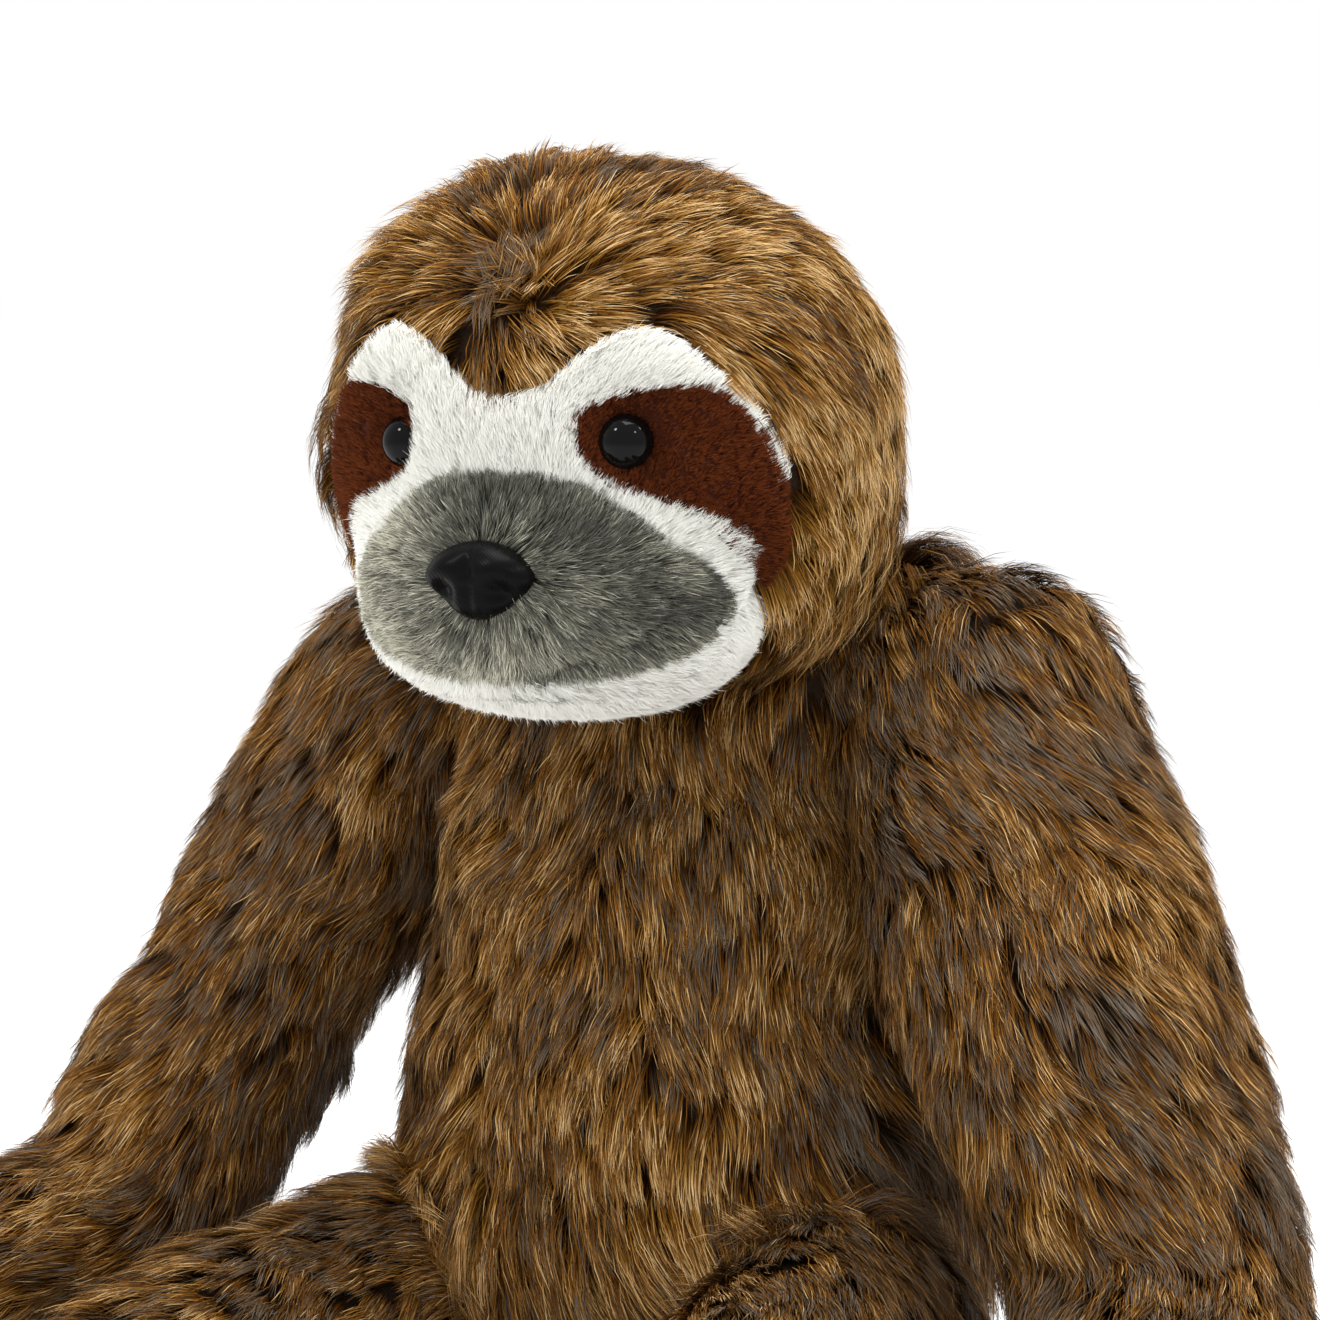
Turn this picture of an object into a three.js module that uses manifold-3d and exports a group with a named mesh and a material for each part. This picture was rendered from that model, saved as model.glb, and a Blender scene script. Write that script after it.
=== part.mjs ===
// A seated plush sloth in long brown fur, with a white face, a grey muzzle and dark eye patches.
// Millimetres, +Z up. It faces -Y and its left side is +X.
// The origin is on the floor, in the flat of the seat.
// Every fur skin is drawn at the height of its lying pile, with the filling as a piece of its own inside.

import * as THREE from 'three';
import { mergeVertices } from 'three/addons/utils/BufferGeometryUtils.js';
import Module from 'manifold-3d';

// Cloth and gaps
const backingThickness = 1.5;
const pileDepth = 10.5;
const skinThickness = backingThickness + pileDepth;
const restGap = 0.3;
const jointGap = 0.7;
const cutOverrun = 40;

// Torso
const torsoHeight = 378;
const torsoHalfWidth = 124;
const torsoHalfDepth = 104;
const seatCutDepth = 0.5;
const closingSlotWidth = 9;
const closingSlotHeight = 90;
const closingSlotLow = 120;
const stitchThread = 1.8;
const stitchPitch = 9;
const pouchHalfWidth = 60;
const pouchHalfDepth = 48;
const pouchHalfHeight = 15;
const pouchBack = 14;

// Head
const headY = -62;
const headRise = 50;
const headZ = torsoHeight + headRise;
const headHalfWidth = 113;
const headHalfDepth = 97;
const headHalfHeight = 104;
const neckY = -30;
const neckRise = 7;
const neckZ = torsoHeight + neckRise;
const neckRoll = 28;
const neckRollHalf = 30;
const neckStem = 24;
const neckStemDepth = 82;
const neckStemLow = torsoHeight - neckStemDepth;
const neckHole = 46;

// Face
const maskThickness = 4;
const maskHalfWidth = 98;
const maskTop = 42;
const maskBottom = -84;
const patchThickness = 3;
const patchInner = 33;
const patchOuter = 95;
const patchTop = 16;
const patchBottom = -58;
const muzzleHalfWidth = 79;
const muzzleHalfDepth = 50;
const muzzleHalfHeight = 41;
const muzzleForward = 56;
const muzzleDrop = 54;
const chinHalfWidth = 58;
const chinHalfDepth = 34;
const chinHalfHeight = 30;
const chinForward = 50;
const chinDrop = 82;
const noseHalfWidth = 22;
const noseHalfDepth = 12;
const noseHalfHeight = 13.5;
const noseForward = 106;
const noseDrop = 54;
const eyeRadius = 10.5;
const eyeApart = 50;
const eyeDrop = 4;
const eyeTurn = 0.39;
const eyeForward = 103;
const eyeShank = 2.6;
const eyeShankLength = 30;
const washerRadius = 10;
const washerThickness = 2;

// Arms
const shoulderOut = 16;
const shoulderX = torsoHalfWidth + shoulderOut;
const shoulderY = -2;
const shoulderDrop = 74;
const shoulderZ = torsoHeight - shoulderDrop;
const elbowOut = 92;
const elbowX = shoulderX + elbowOut;
const elbowY = -76;
const elbowZ = 85;
const handOut = 71;
const handX = elbowX + handOut;
const handY = -222;
const handZ = 42;
const shoulderRadius = 57;
const armRadius = 53;
const elbowRadius = 50;
const wristRadius = 40;
const handRadius = 42;
const handTip = 26;
const elbowCollar = 22;
const shoulderWad = 26;
const shoulderWadHalf = 24;

// Legs
const hipIn = 26;
const hipX = torsoHalfWidth - hipIn;
const hipY = -68;
const hipZ = 66;
const footOut = 30;
const footX = hipX + footOut;
const footY = -280;
const footZ = 47;
const hipRadius = 63;
const thighRadius = 58;
const shinRadius = 49;
const footRadius = 45;
const footTip = 34;
const hipWad = 28;
const hipWadHalf = 26;

// How far the head and the limbs turn in the torso, in degrees, negative for back, down and inwards
const neckTurns = [-40, -20, 0, 20, 40];
const headNods = [-10, 5, 20];
const armSwings = [-30, -15, 0, 15, 30, 50, 70];
const armSqueeze = 5;
const legSwings = [-40, -27, -14, 0, 15, 30];
const legSqueeze = 5;

// Claws
const clawCount = 3;
const clawLength = 52;
const clawRadius = 9;
const clawTipRadius = 2.2;
const clawBend = 26;
const clawSpread = 23;
const clawRootDepth = 14;

// Sides and steps of the round forms
const torsoSides = 24;
const headSides = 24;
const coreSides = 16;
const limbSides = 18;
const innerSides = 10;
const ballSides = 18;
const smallSides = 14;
const rollSides = 24;
const capSteps = 4;
const coreCapSteps = 2;
const clawSides = 8;
const clawSteps = 5;

// Rows of height, width, depth and place forward, as shares of the torso's sizes
const torsoShares = [
  [0.0, 0.66, 0.68, 0.0],
  [0.021, 0.81, 0.85, 0.0],
  [0.08, 0.93, 0.96, 0.0],
  [0.185, 0.99, 1.0, -0.02],
  [0.29, 1.0, 1.0, -0.04],
  [0.4, 0.975, 0.96, -0.06],
  [0.505, 0.92, 0.9, -0.06],
  [0.61, 0.85, 0.83, -0.04],
  [0.715, 0.795, 0.77, 0.0],
  [0.805, 0.78, 0.71, 0.04],
  [0.885, 0.76, 0.62, 0.11],
  [0.947, 0.63, 0.5, 0.14],
  [0.984, 0.4, 0.33, 0.155],
  [1.0, 0.0, 0.0, 0.155],
];

// Rows of height, width and depth, as shares of the head's half sizes
const headShares = [
  [-1.0, 0.0, 0.0],
  [-0.94, 0.38, 0.38],
  [-0.82, 0.61, 0.61],
  [-0.6, 0.82, 0.83],
  [-0.34, 0.95, 0.96],
  [-0.06, 1.0, 1.0],
  [0.2, 0.99, 0.99],
  [0.46, 0.93, 0.91],
  [0.68, 0.79, 0.76],
  [0.84, 0.6, 0.57],
  [0.95, 0.36, 0.34],
  [1.0, 0.0, 0.0],
];

// Half of the white mask's outline, from the forehead's point round to the chin, as shares
const maskShares = [
  [0.0, 0.746], [0.12, 0.77], [0.26, 0.84], [0.4, 0.93], [0.54, 1.0], [0.67, 0.92], [0.78, 0.82],
  [0.91, 0.67], [1.0, 0.54], [1.0, 0.41], [0.93, 0.24], [0.84, 0.13], [0.63, 0.03], [0.31, 0.0],
];

// The outline of an eye patch, as shares of its width and height
const patchShares = [
  [0.0, 0.82], [0.17, 0.93], [0.36, 0.97], [0.66, 1.0], [0.83, 0.82], [1.0, 0.46], [0.98, 0.28],
  [0.83, 0.0], [0.8, 0.24], [0.5, 0.42], [0.1, 0.56],
];

// Colours
const furBrown = 0x6b4824;
const fillingWhite = 0xf3f0e8;
const faceWhite = 0xeeebe2;
const patchMaroon = 0x4a1d12;
const muzzleGrey = 0x6c6e68;
const noseBlack = 0x15151a;
const eyeBlack = 0x050505;
const clawTan = 0xb9a88c;
const pouchCotton = 0xd9d2c0;
const washerWhite = 0xe2e2df;
const roughCloth = 0.95;
const roughSatin = 0.4;
const roughGloss = 0.08;
const roughPlastic = 0.5;

const kernel = await Module();
kernel.setup();

// Turns a closed three.js geometry into a solid, without the empty triangles at its poles
function solidOf(geometry) {
  const bare = geometry.index ? geometry.clone() : geometry;
  bare.deleteAttribute('normal');
  bare.deleteAttribute('uv');
  const merged = mergeVertices(bare);
  const index = merged.index.array;
  const kept = [];
  for (let i = 0; i < index.length; i += 3) {
    const [a, b, c] = [index[i], index[i + 1], index[i + 2]];
    if (a !== b && b !== c && c !== a) {
      kept.push(a, b, c);
    }
  }
  return new kernel.Manifold(new kernel.Mesh({
    numProp: 3,
    vertProperties: new Float32Array(merged.attributes.position.array),
    triVerts: new Uint32Array(kept),
  }));
}

// Turns a solid back into a three.js geometry
function geometryOf(solid) {
  const mesh = solid.getMesh();
  const geometry = new THREE.BufferGeometry();
  geometry.setAttribute('position', new THREE.BufferAttribute(new Float32Array(mesh.vertProperties), 3));
  geometry.setIndex(new THREE.BufferAttribute(new Uint32Array(mesh.triVerts), 1));
  geometry.computeVertexNormals();
  return geometry;
}

// Adds one named piece to its group
function addPiece(group, name, solid, color, roughness = roughCloth) {
  const material = new THREE.MeshStandardMaterial({ color, roughness, metalness: 0 });
  const mesh = new THREE.Mesh(geometryOf(solid), material);
  mesh.name = name;
  group.add(mesh);
  return mesh;
}

// A closed form through rings of points, with one point at each end
function loft(start, rings, end) {
  const points = [start, ...rings.flat(), end];
  const sides = rings[0].length;
  const last = points.length - 1;
  const index = [];
  for (let i = 0; i < sides; i += 1) {
    const next = (i + 1) % sides;
    index.push(0, 1 + next, 1 + i);
    for (let ring = 0; ring < rings.length - 1; ring += 1) {
      const low = 1 + ring * sides;
      const high = low + sides;
      index.push(low + i, low + next, high + next);
      index.push(low + i, high + next, high + i);
    }
    const top = 1 + (rings.length - 1) * sides;
    index.push(last, top + i, top + next);
  }
  const geometry = new THREE.BufferGeometry();
  const values = points.flatMap((p) => [p.x, p.y, p.z]);
  geometry.setAttribute('position', new THREE.BufferAttribute(new Float32Array(values), 3));
  geometry.setIndex(index);
  return solidOf(geometry);
}

// A level oval ring
function oval(centreY, z, halfWidth, halfDepth, sides) {
  const ring = [];
  for (let i = 0; i < sides; i += 1) {
    const turn = (2 * Math.PI * i) / sides;
    const y = centreY + halfDepth * Math.sin(turn);
    ring.push(new THREE.Vector3(halfWidth * Math.cos(turn), y, z));
  }
  return ring;
}

// The torso's form, drawn in by an inset
function torsoForm(inset, sides) {
  const low = inset - seatCutDepth;
  const tall = torsoHeight - inset - low;
  const rows = torsoShares.map(([height, width, depth, forward]) => ({
    z: low + tall * height,
    y: torsoHalfDepth * forward,
    halfWidth: torsoHalfWidth * width - inset,
    halfDepth: torsoHalfDepth * depth - inset,
  }));
  const top = rows.pop();
  const rings = rows.map((row) => oval(row.y, row.z, row.halfWidth, row.halfDepth, sides));
  const start = new THREE.Vector3(0, rows[0].y, low);
  return loft(start, rings, new THREE.Vector3(0, top.y, top.z));
}

// The head's form about its own centre, drawn in by an inset or swollen by a negative one
function headForm(inset, sides) {
  const rows = headShares.slice(1, -1);
  const tall = headHalfHeight - inset;
  const rings = rows.map(([height, width, depth]) => {
    const halfWidth = (headHalfWidth - inset) * width;
    const halfDepth = (headHalfDepth - inset) * depth;
    return oval(0, tall * height, halfWidth, halfDepth, sides);
  });
  return loft(new THREE.Vector3(0, 0, -tall), rings, new THREE.Vector3(0, 0, tall));
}

// A round limb along +Z from a ball about its root, through stations of distance and radius, to a round tip
function limbForm(rootRadius, stations, tipLength, inset, sides) {
  const profile = [];
  const steps = inset > 0 ? coreCapSteps : capSteps;
  const root = rootRadius - inset;
  for (let i = 0; i < steps; i += 1) {
    const turn = (Math.PI / 2) * (i / steps);
    profile.push(new THREE.Vector2(root * Math.sin(turn), -root * Math.cos(turn)));
  }
  profile.push(new THREE.Vector2(root, 0));
  for (const [distance, radius] of stations) {
    profile.push(new THREE.Vector2(radius - inset, distance));
  }
  const [lastDistance, lastRadius] = stations[stations.length - 1];
  for (let i = 1; i <= steps; i += 1) {
    const turn = (Math.PI / 2) * (i / steps);
    const radius = i === steps ? 0 : (lastRadius - inset) * Math.cos(turn);
    profile.push(new THREE.Vector2(radius, lastDistance + (tipLength - inset) * Math.sin(turn)));
  }
  const lathe = new THREE.LatheGeometry(profile, sides);
  return solidOf(lathe.rotateX(Math.PI / 2));
}

function ball(radius, sides = ballSides) {
  return solidOf(new THREE.SphereGeometry(radius, sides, sides / 2));
}

// A cutter whose flats clear a turning ball of this radius
function socket(radius, gap, sides) {
  return ball((radius + gap) / Math.cos(Math.PI / sides) ** 2, sides);
}

function ellipsoid(halfWidth, halfDepth, halfHeight, sides = ballSides) {
  return ball(1, sides).scale([halfWidth, halfDepth, halfHeight]);
}

// A round bar about Z between two heights
function bar(radius, low, high, sides = innerSides) {
  const geometry = new THREE.CylinderGeometry(radius, radius, high - low, sides);
  geometry.rotateX(Math.PI / 2);
  geometry.translate(0, 0, (low + high) / 2);
  return solidOf(geometry);
}

// A roll of filling about X, Y or Z, or with a gap the room that it turns in
function roll(axis, radius, half, gap = 0) {
  const swell = gap > 0 ? Math.cos(Math.PI / rollSides) : 1;
  const form = bar((radius + gap) / swell, -half - gap, half + gap, rollSides);
  const quarter = 90;
  return form.rotate([axis === 'y' ? quarter : 0, axis === 'x' ? quarter : 0, 0]);
}

function box(x, y, z, width, depth, height) {
  return solidOf(new THREE.BoxGeometry(width, depth, height)).translate([x, y, z]);
}

// A smooth outline in the XZ plane, drawn through the head from the front
function frontCut(points) {
  const curve = new THREE.CatmullRomCurve3(points, true, 'catmullrom', 0.5);
  const shape = new THREE.Shape();
  const drawn = curve.getPoints(points.length * 2);
  drawn.pop();
  shape.setFromPoints(drawn.map((p) => new THREE.Vector2(p.x, p.y)));
  const depth = headHalfDepth + cutOverrun;
  const geometry = new THREE.ExtrudeGeometry(shape, { depth, bevelEnabled: false });
  geometry.rotateX(Math.PI / 2);
  return solidOf(geometry);
}

// A frame with +Z along one direction and +X as near as can be to another
function frameAlong(zWay, xWay) {
  const z = zWay.clone().normalize();
  const x = xWay.clone().addScaledVector(z, -xWay.dot(z)).normalize();
  const y = new THREE.Vector3().crossVectors(z, x);
  return new THREE.Matrix4().makeBasis(x, y, z);
}

function groupAt(parent, matrix) {
  const group = new THREE.Group();
  matrix.decompose(group.position, group.quaternion, group.scale);
  parent.add(group);
  return group;
}

const up = new THREE.Vector3(0, 0, 1);
const sloth = new THREE.Group();

// Where the limbs lie

function armLayout(side) {
  const shoulder = new THREE.Vector3(side * shoulderX, shoulderY, shoulderZ);
  const elbow = new THREE.Vector3(side * elbowX, elbowY, elbowZ);
  const hand = new THREE.Vector3(side * handX, handY, handZ);
  const upperWay = elbow.clone().sub(shoulder);
  const foreWay = hand.clone().sub(elbow);
  const upperLength = upperWay.length();
  const foreLength = foreWay.length();
  const upper = frameAlong(upperWay, foreWay).setPosition(shoulder);
  const bend = upperWay.angleTo(foreWay);
  const fore = new THREE.Matrix4().makeRotationY(bend);
  fore.setPosition(0, 0, upperLength);
  return { upper, fore, upperLength, foreLength };
}

function legLayout(side) {
  const hip = new THREE.Vector3(side * hipX, hipY, hipZ);
  const foot = new THREE.Vector3(side * footX, footY, footZ);
  const way = foot.clone().sub(hip);
  return { hip, length: way.length(), frame: frameAlong(way, up).setPosition(hip) };
}

// The forms of the limbs in their own frames, drawn in by an inset

function upperArmForm(length, inset, sides) {
  const stations = [
    [length * 0.25, armRadius + (shoulderRadius - armRadius) * 0.7],
    [length * 0.5, armRadius],
    [length * 0.75, (armRadius + elbowRadius) / 2],
    [length - elbowCollar * 1.6, elbowRadius],
  ];
  return limbForm(shoulderRadius, stations, elbowCollar * 0.8, inset, sides);
}

function forearmForm(length, inset, sides) {
  const stations = [
    [length * 0.25, elbowRadius * 0.96],
    [length * 0.5, (elbowRadius + wristRadius) / 2],
    [length * 0.78, wristRadius],
    [length, handRadius],
    [length + handTip / 2, handRadius * 0.93],
  ];
  return limbForm(elbowRadius, stations, handTip, inset, sides);
}

function legForm(length, inset, sides) {
  const stations = [
    [length * 0.26, thighRadius],
    [length * 0.52, (thighRadius + shinRadius) / 2],
    [length * 0.76, shinRadius],
    [length, footRadius],
  ];
  return limbForm(hipRadius, stations, footTip, inset, sides);
}

// Torso

// How far back the torso reaches at a height
function backAt(z) {
  const share = (z + seatCutDepth) / (torsoHeight + seatCutDepth);
  const above = torsoShares.findIndex((row) => row[0] >= share);
  const [low, high] = [torsoShares[above - 1], torsoShares[above]];
  const part = (share - low[0]) / (high[0] - low[0]);
  const [depthAt, forwardAt] = ['depth', 'forward'].map((word) => {
    const [lower, upper] = [rowOf(low)[word], rowOf(high)[word]];
    return torsoHalfDepth * (lower + (upper - lower) * part);
  });
  return depthAt + forwardAt;
}

function rowOf([height, width, depth, forward]) {
  return { height, width, depth, forward };
}

// Room in the torso for the head and the four limbs in every place they turn to
function jointRoom() {
  const neck = new THREE.Vector3(0, neckY, neckZ);
  const headFrame = new THREE.Matrix4().makeTranslation(0, headY, headZ);
  const headTurns = [];
  for (const turn of neckTurns) {
    for (const nod of headNods) {
      headTurns.push(turnOf('z', turn).multiply(turnOf('x', -nod)));
    }
  }
  let room = swept(headForm(-jointGap, headSides), headFrame, neck, headTurns);
  for (const side of [-1, 1]) {
    const leg = legLayout(side);
    const legTurns = legSwings.flatMap((swing) => [0, -legSqueeze].map((spread) => (
      turnOf('x', -swing).multiply(turnOf('z', side * spread))
    )));
    room = room.add(swept(legForm(leg.length, -jointGap, limbSides), leg.frame, leg.hip, legTurns));
    room = room.add(socket(hipRadius, restGap, rollSides).translate(leg.hip.toArray()));

    const arm = armLayout(side);
    const shoulder = new THREE.Vector3().setFromMatrixPosition(arm.upper);
    const armTurns = armSwings.flatMap((swing) => [0, armSqueeze].map((squeeze) => (
      turnOf('x', -swing).multiply(turnOf('y', side * squeeze))
    )));
    room = room.add(swept(upperArmForm(arm.upperLength, -jointGap, limbSides), arm.upper, shoulder, armTurns));
    room = room.add(socket(shoulderRadius, restGap, rollSides).translate(shoulder.toArray()));
  }
  return room;
}

// A turn about one axis by degrees
function turnOf(axis, degrees) {
  const ways = { x: [1, 0, 0], y: [0, 1, 0], z: [0, 0, 1] };
  const way = new THREE.Vector3().fromArray(ways[axis]);
  return new THREE.Matrix4().makeRotationAxis(way, THREE.MathUtils.degToRad(degrees));
}

// The whole room that a form in its frame takes up while it turns about a point
function swept(form, frame, pivot, turns) {
  const places = turns.map((turn) => {
    const matrix = new THREE.Matrix4().makeTranslation(pivot).multiply(turn);
    matrix.multiply(new THREE.Matrix4().makeTranslation(pivot.clone().negate())).multiply(frame);
    return form.transform(matrix.elements);
  });
  return kernel.Manifold.hull(places);
}

function addTorso(group) {
  const room = jointRoom();
  const floorCut = box(0, 0, -cutOverrun / 2, torsoHalfWidth * 2, torsoHalfDepth * 2, cutOverrun);
  const slotMiddle = closingSlotLow + closingSlotHeight / 2;
  const slotY = torsoHalfDepth;
  const slot = box(0, slotY, slotMiddle, closingSlotWidth, torsoHalfDepth, closingSlotHeight);
  const inner = torsoForm(skinThickness, coreSides);
  const stemRadius = (neckStem + restGap) / Math.cos(Math.PI / limbSides);
  const stem = bar(stemRadius, neckStemLow - restGap, torsoHeight, limbSides).translate([0, neckY, 0]);
  const skin = torsoForm(0, torsoSides).subtract(inner).subtract(room).subtract(floorCut);
  addPiece(group, 'torso_skin', skin.subtract(slot).subtract(stem), furBrown);

  const pouchZ = skinThickness + restGap + pouchHalfHeight;
  const pouchPlace = [0, pouchBack, pouchZ];
  const pocket = ellipsoid(
    pouchHalfWidth + restGap,
    pouchHalfDepth + restGap,
    pouchHalfHeight + restGap,
    smallSides,
  );
  const under = bar(1, -pouchZ, 0, smallSides).scale([pouchHalfWidth, pouchHalfDepth, 1]);
  const filling = torsoForm(skinThickness + restGap, coreSides).subtract(room)
    .subtract(pocket.add(under).translate(pouchPlace)).subtract(stem);
  addPiece(group, 'torso_stuffing', filling, fillingWhite);

  const pouch = ellipsoid(pouchHalfWidth, pouchHalfDepth, pouchHalfHeight, smallSides);
  addPiece(group, 'seat_pellet_pouch', pouch.translate(pouchPlace), pouchCotton);
  addPiece(group, 'back_closing_seam', closingSeam(), furBrown);
}

// The ladder stitch that closes the filling slot, one thread to and fro
function closingSeam() {
  const reach = closingSlotWidth / 2 - stitchThread / 2 - restGap;
  const count = Math.floor(closingSlotHeight / stitchPitch) - 1;
  const points = [];
  for (let i = 0; i <= count; i += 1) {
    const z = closingSlotLow + stitchPitch * (i + 0.5);
    const x = i % 2 === 0 ? -reach : reach;
    points.push(new THREE.Vector3(x, backAt(z) - skinThickness / 2, z));
  }
  const path = new THREE.CatmullRomCurve3(points, false, 'catmullrom', 0.2);
  const section = new THREE.Shape();
  section.absarc(0, 0, stitchThread / 2, 0, Math.PI * 2);
  const settings = { steps: count * 3, extrudePath: path, curveSegments: 2, bevelEnabled: false };
  return solidOf(new THREE.ExtrudeGeometry(section, settings));
}

// Neck: a wad of filling, a roll in the head on a stem in the torso
function addNeck(group) {
  const neck = roll('x', neckRoll, neckRollHalf).add(bar(neckStem, neckStemLow - neckZ, 0, limbSides));
  const piece = addPiece(group, 'neck_stuffing', neck, fillingWhite);
  piece.position.set(0, neckY, neckZ);
}

// Head

function facePoints(shares, left, right, low, high) {
  return shares.map(([across, rise]) => (
    new THREE.Vector3(left + (right - left) * across, low + (high - low) * rise, 0)
  ));
}

function maskOutline() {
  const half = facePoints(maskShares, 0, maskHalfWidth, maskBottom, maskTop);
  const other = half.slice(1).reverse().map((p) => new THREE.Vector3(-p.x, p.y, 0));
  return half.concat(other);
}

function patchOutline(side) {
  const points = facePoints(patchShares, patchInner, patchOuter, patchBottom, patchTop);
  return side > 0 ? points : points.map((p) => new THREE.Vector3(-p.x, p.y, 0)).reverse();
}

// The frame of an eye, with +Z out of the face along its shank
function eyeFrame(side) {
  const way = new THREE.Vector3(side * Math.sin(eyeTurn), -Math.cos(eyeTurn), 0);
  const reach = eyeForward - maskThickness - patchThickness;
  const y = -reach * Math.sqrt(1 - (eyeApart / headHalfWidth) ** 2);
  const place = new THREE.Vector3(side * eyeApart, y, -eyeDrop).addScaledVector(way, eyeRadius * 0.9);
  return frameAlong(way, up).setPosition(place);
}

function addHead(group) {
  const maskBack = restGap;
  const maskFront = maskBack + maskThickness;
  const patchBack = maskFront + restGap;
  const patchFront = patchBack + patchThickness;
  const neckPlace = [0, neckY - headY, neckZ - headZ];
  const hole = bar(neckHole, -headHalfHeight - cutOverrun, 0, limbSides).translate([0, neckPlace[1], neckPlace[2]]);
  const shanks = [-1, 1].map((side) => (
    bar(eyeShank + restGap, -eyeShankLength - cutOverrun, 0, clawSides).transform(eyeFrame(side).elements)
  ));
  const washerRooms = [-1, 1].map((side) => (
    bar(washerRadius + restGap, -eyeShankLength - restGap * 2, 0).transform(eyeFrame(side).elements)
  ));

  const inner = headForm(skinThickness, coreSides);
  let skin = headForm(0, headSides).subtract(inner).subtract(hole);
  let filling = headForm(skinThickness + restGap, coreSides).subtract(hole)
    .subtract(roll('x', neckRoll, neckRollHalf, restGap).translate(neckPlace));
  let mask = headForm(-maskFront, headSides).subtract(headForm(-maskBack, headSides));
  mask = mask.intersect(frontCut(maskOutline()));
  for (const i of [0, 1]) {
    skin = skin.subtract(shanks[i]);
    mask = mask.subtract(shanks[i]);
    filling = filling.subtract(washerRooms[i]);
  }
  addPiece(group, 'head_skin', skin, furBrown);
  addPiece(group, 'head_stuffing', filling, fillingWhite);
  addPiece(group, 'face_mask', mask, faceWhite);

  const overMask = headForm(-patchBack, headSides);
  const muzzlePlace = [0, -muzzleForward, -muzzleDrop];
  const muzzleCut = overMask.add(frontPatches(patchBack, patchFront + restGap));
  const muzzle = ellipsoid(muzzleHalfWidth, muzzleHalfDepth, muzzleHalfHeight).translate(muzzlePlace);
  addPiece(group, 'muzzle', muzzle.subtract(muzzleCut), muzzleGrey);

  const muzzleRoom = ellipsoid(
    muzzleHalfWidth + restGap * 2,
    muzzleHalfDepth + restGap * 2,
    muzzleHalfHeight + restGap * 2,
  ).translate(muzzlePlace);
  const chin = ellipsoid(chinHalfWidth, chinHalfDepth, chinHalfHeight, smallSides);
  const chinPlaced = chin.translate([0, -chinForward, -chinDrop]);
  addPiece(group, 'chin', chinPlaced.subtract(muzzleRoom).subtract(overMask), faceWhite);

  const nose = ellipsoid(noseHalfWidth, noseHalfDepth, noseHalfHeight, smallSides);
  const nosePlaced = nose.translate([0, -noseForward, -noseDrop]).subtract(muzzleRoom);
  addPiece(group, 'nose', nosePlaced, noseBlack, roughSatin);

  addEyes(group, patchBack, patchFront);
}

// Both eye patches as one cutter between two heights above the head's skin
function frontPatches(low, high) {
  const layer = headForm(-high, headSides).subtract(headForm(-low, headSides));
  return layer.intersect(frontCut(patchOutline(1)).add(frontCut(patchOutline(-1))));
}

function addEyes(group, patchBack, patchFront) {
  for (const side of [-1, 1]) {
    const word = side > 0 ? 'left' : 'right';
    const frame = eyeFrame(side);
    const shankRoom = bar(eyeShank + restGap, -eyeShankLength, 0, clawSides).transform(frame.elements);
    const layer = headForm(-patchFront, headSides).subtract(headForm(-patchBack, headSides));
    const patch = layer.intersect(frontCut(patchOutline(side))).subtract(shankRoom);
    addPiece(group, `${word}_eye_patch`, patch, patchMaroon);

    const place = groupAt(group, frame);
    const back = headForm(-patchFront - restGap, headSides).transform(frame.clone().invert().elements);
    const globe = ball(eyeRadius, smallSides).subtract(back);
    const shank = bar(eyeShank, -eyeShankLength, 0, clawSides);
    addPiece(place, `${word}_eye`, globe.add(shank), eyeBlack, roughGloss);

    const washerHigh = -eyeShankLength + washerThickness * 2;
    const ring = bar(washerRadius, washerHigh - washerThickness, washerHigh);
    const washer = ring.subtract(bar(eyeShank + restGap, -eyeShankLength - cutOverrun, 0, clawSides));
    addPiece(place, `${word}_eye_washer`, washer, washerWhite, roughPlastic);
  }
}

// Claws: curved felt horns set side by side in the front of a paw, cut to seat on it
function addClaws(group, name, paw, pawRoom, place) {
  for (let i = 0; i < clawCount; i += 1) {
    const across = (i - (clawCount - 1) / 2) * clawSpread;
    const rings = [];
    for (let step = 0; step <= clawSteps; step += 1) {
      const share = step / clawSteps;
      const radius = clawRadius + (clawTipRadius - clawRadius) * share ** 2;
      const z = -clawRootDepth + (clawLength + clawRootDepth) * share;
      const x = -clawBend * share ** 2;
      const ring = [];
      for (let k = 0; k < clawSides; k += 1) {
        const turn = (2 * Math.PI * k) / clawSides;
        ring.push(new THREE.Vector3(x + radius * Math.cos(turn), across + radius * Math.sin(turn), z));
      }
      rings.push(ring);
    }
    const start = new THREE.Vector3(0, across, -clawRootDepth);
    const tip = new THREE.Vector3(-clawBend - clawTipRadius, across, clawLength + clawTipRadius);
    const horn = loft(start, rings, tip).transform(place.elements);
    addPiece(group, `${name}_claw_${i + 1}`, horn.subtract(pawRoom), clawTan, roughPlastic);
  }
}

// Arms

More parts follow.
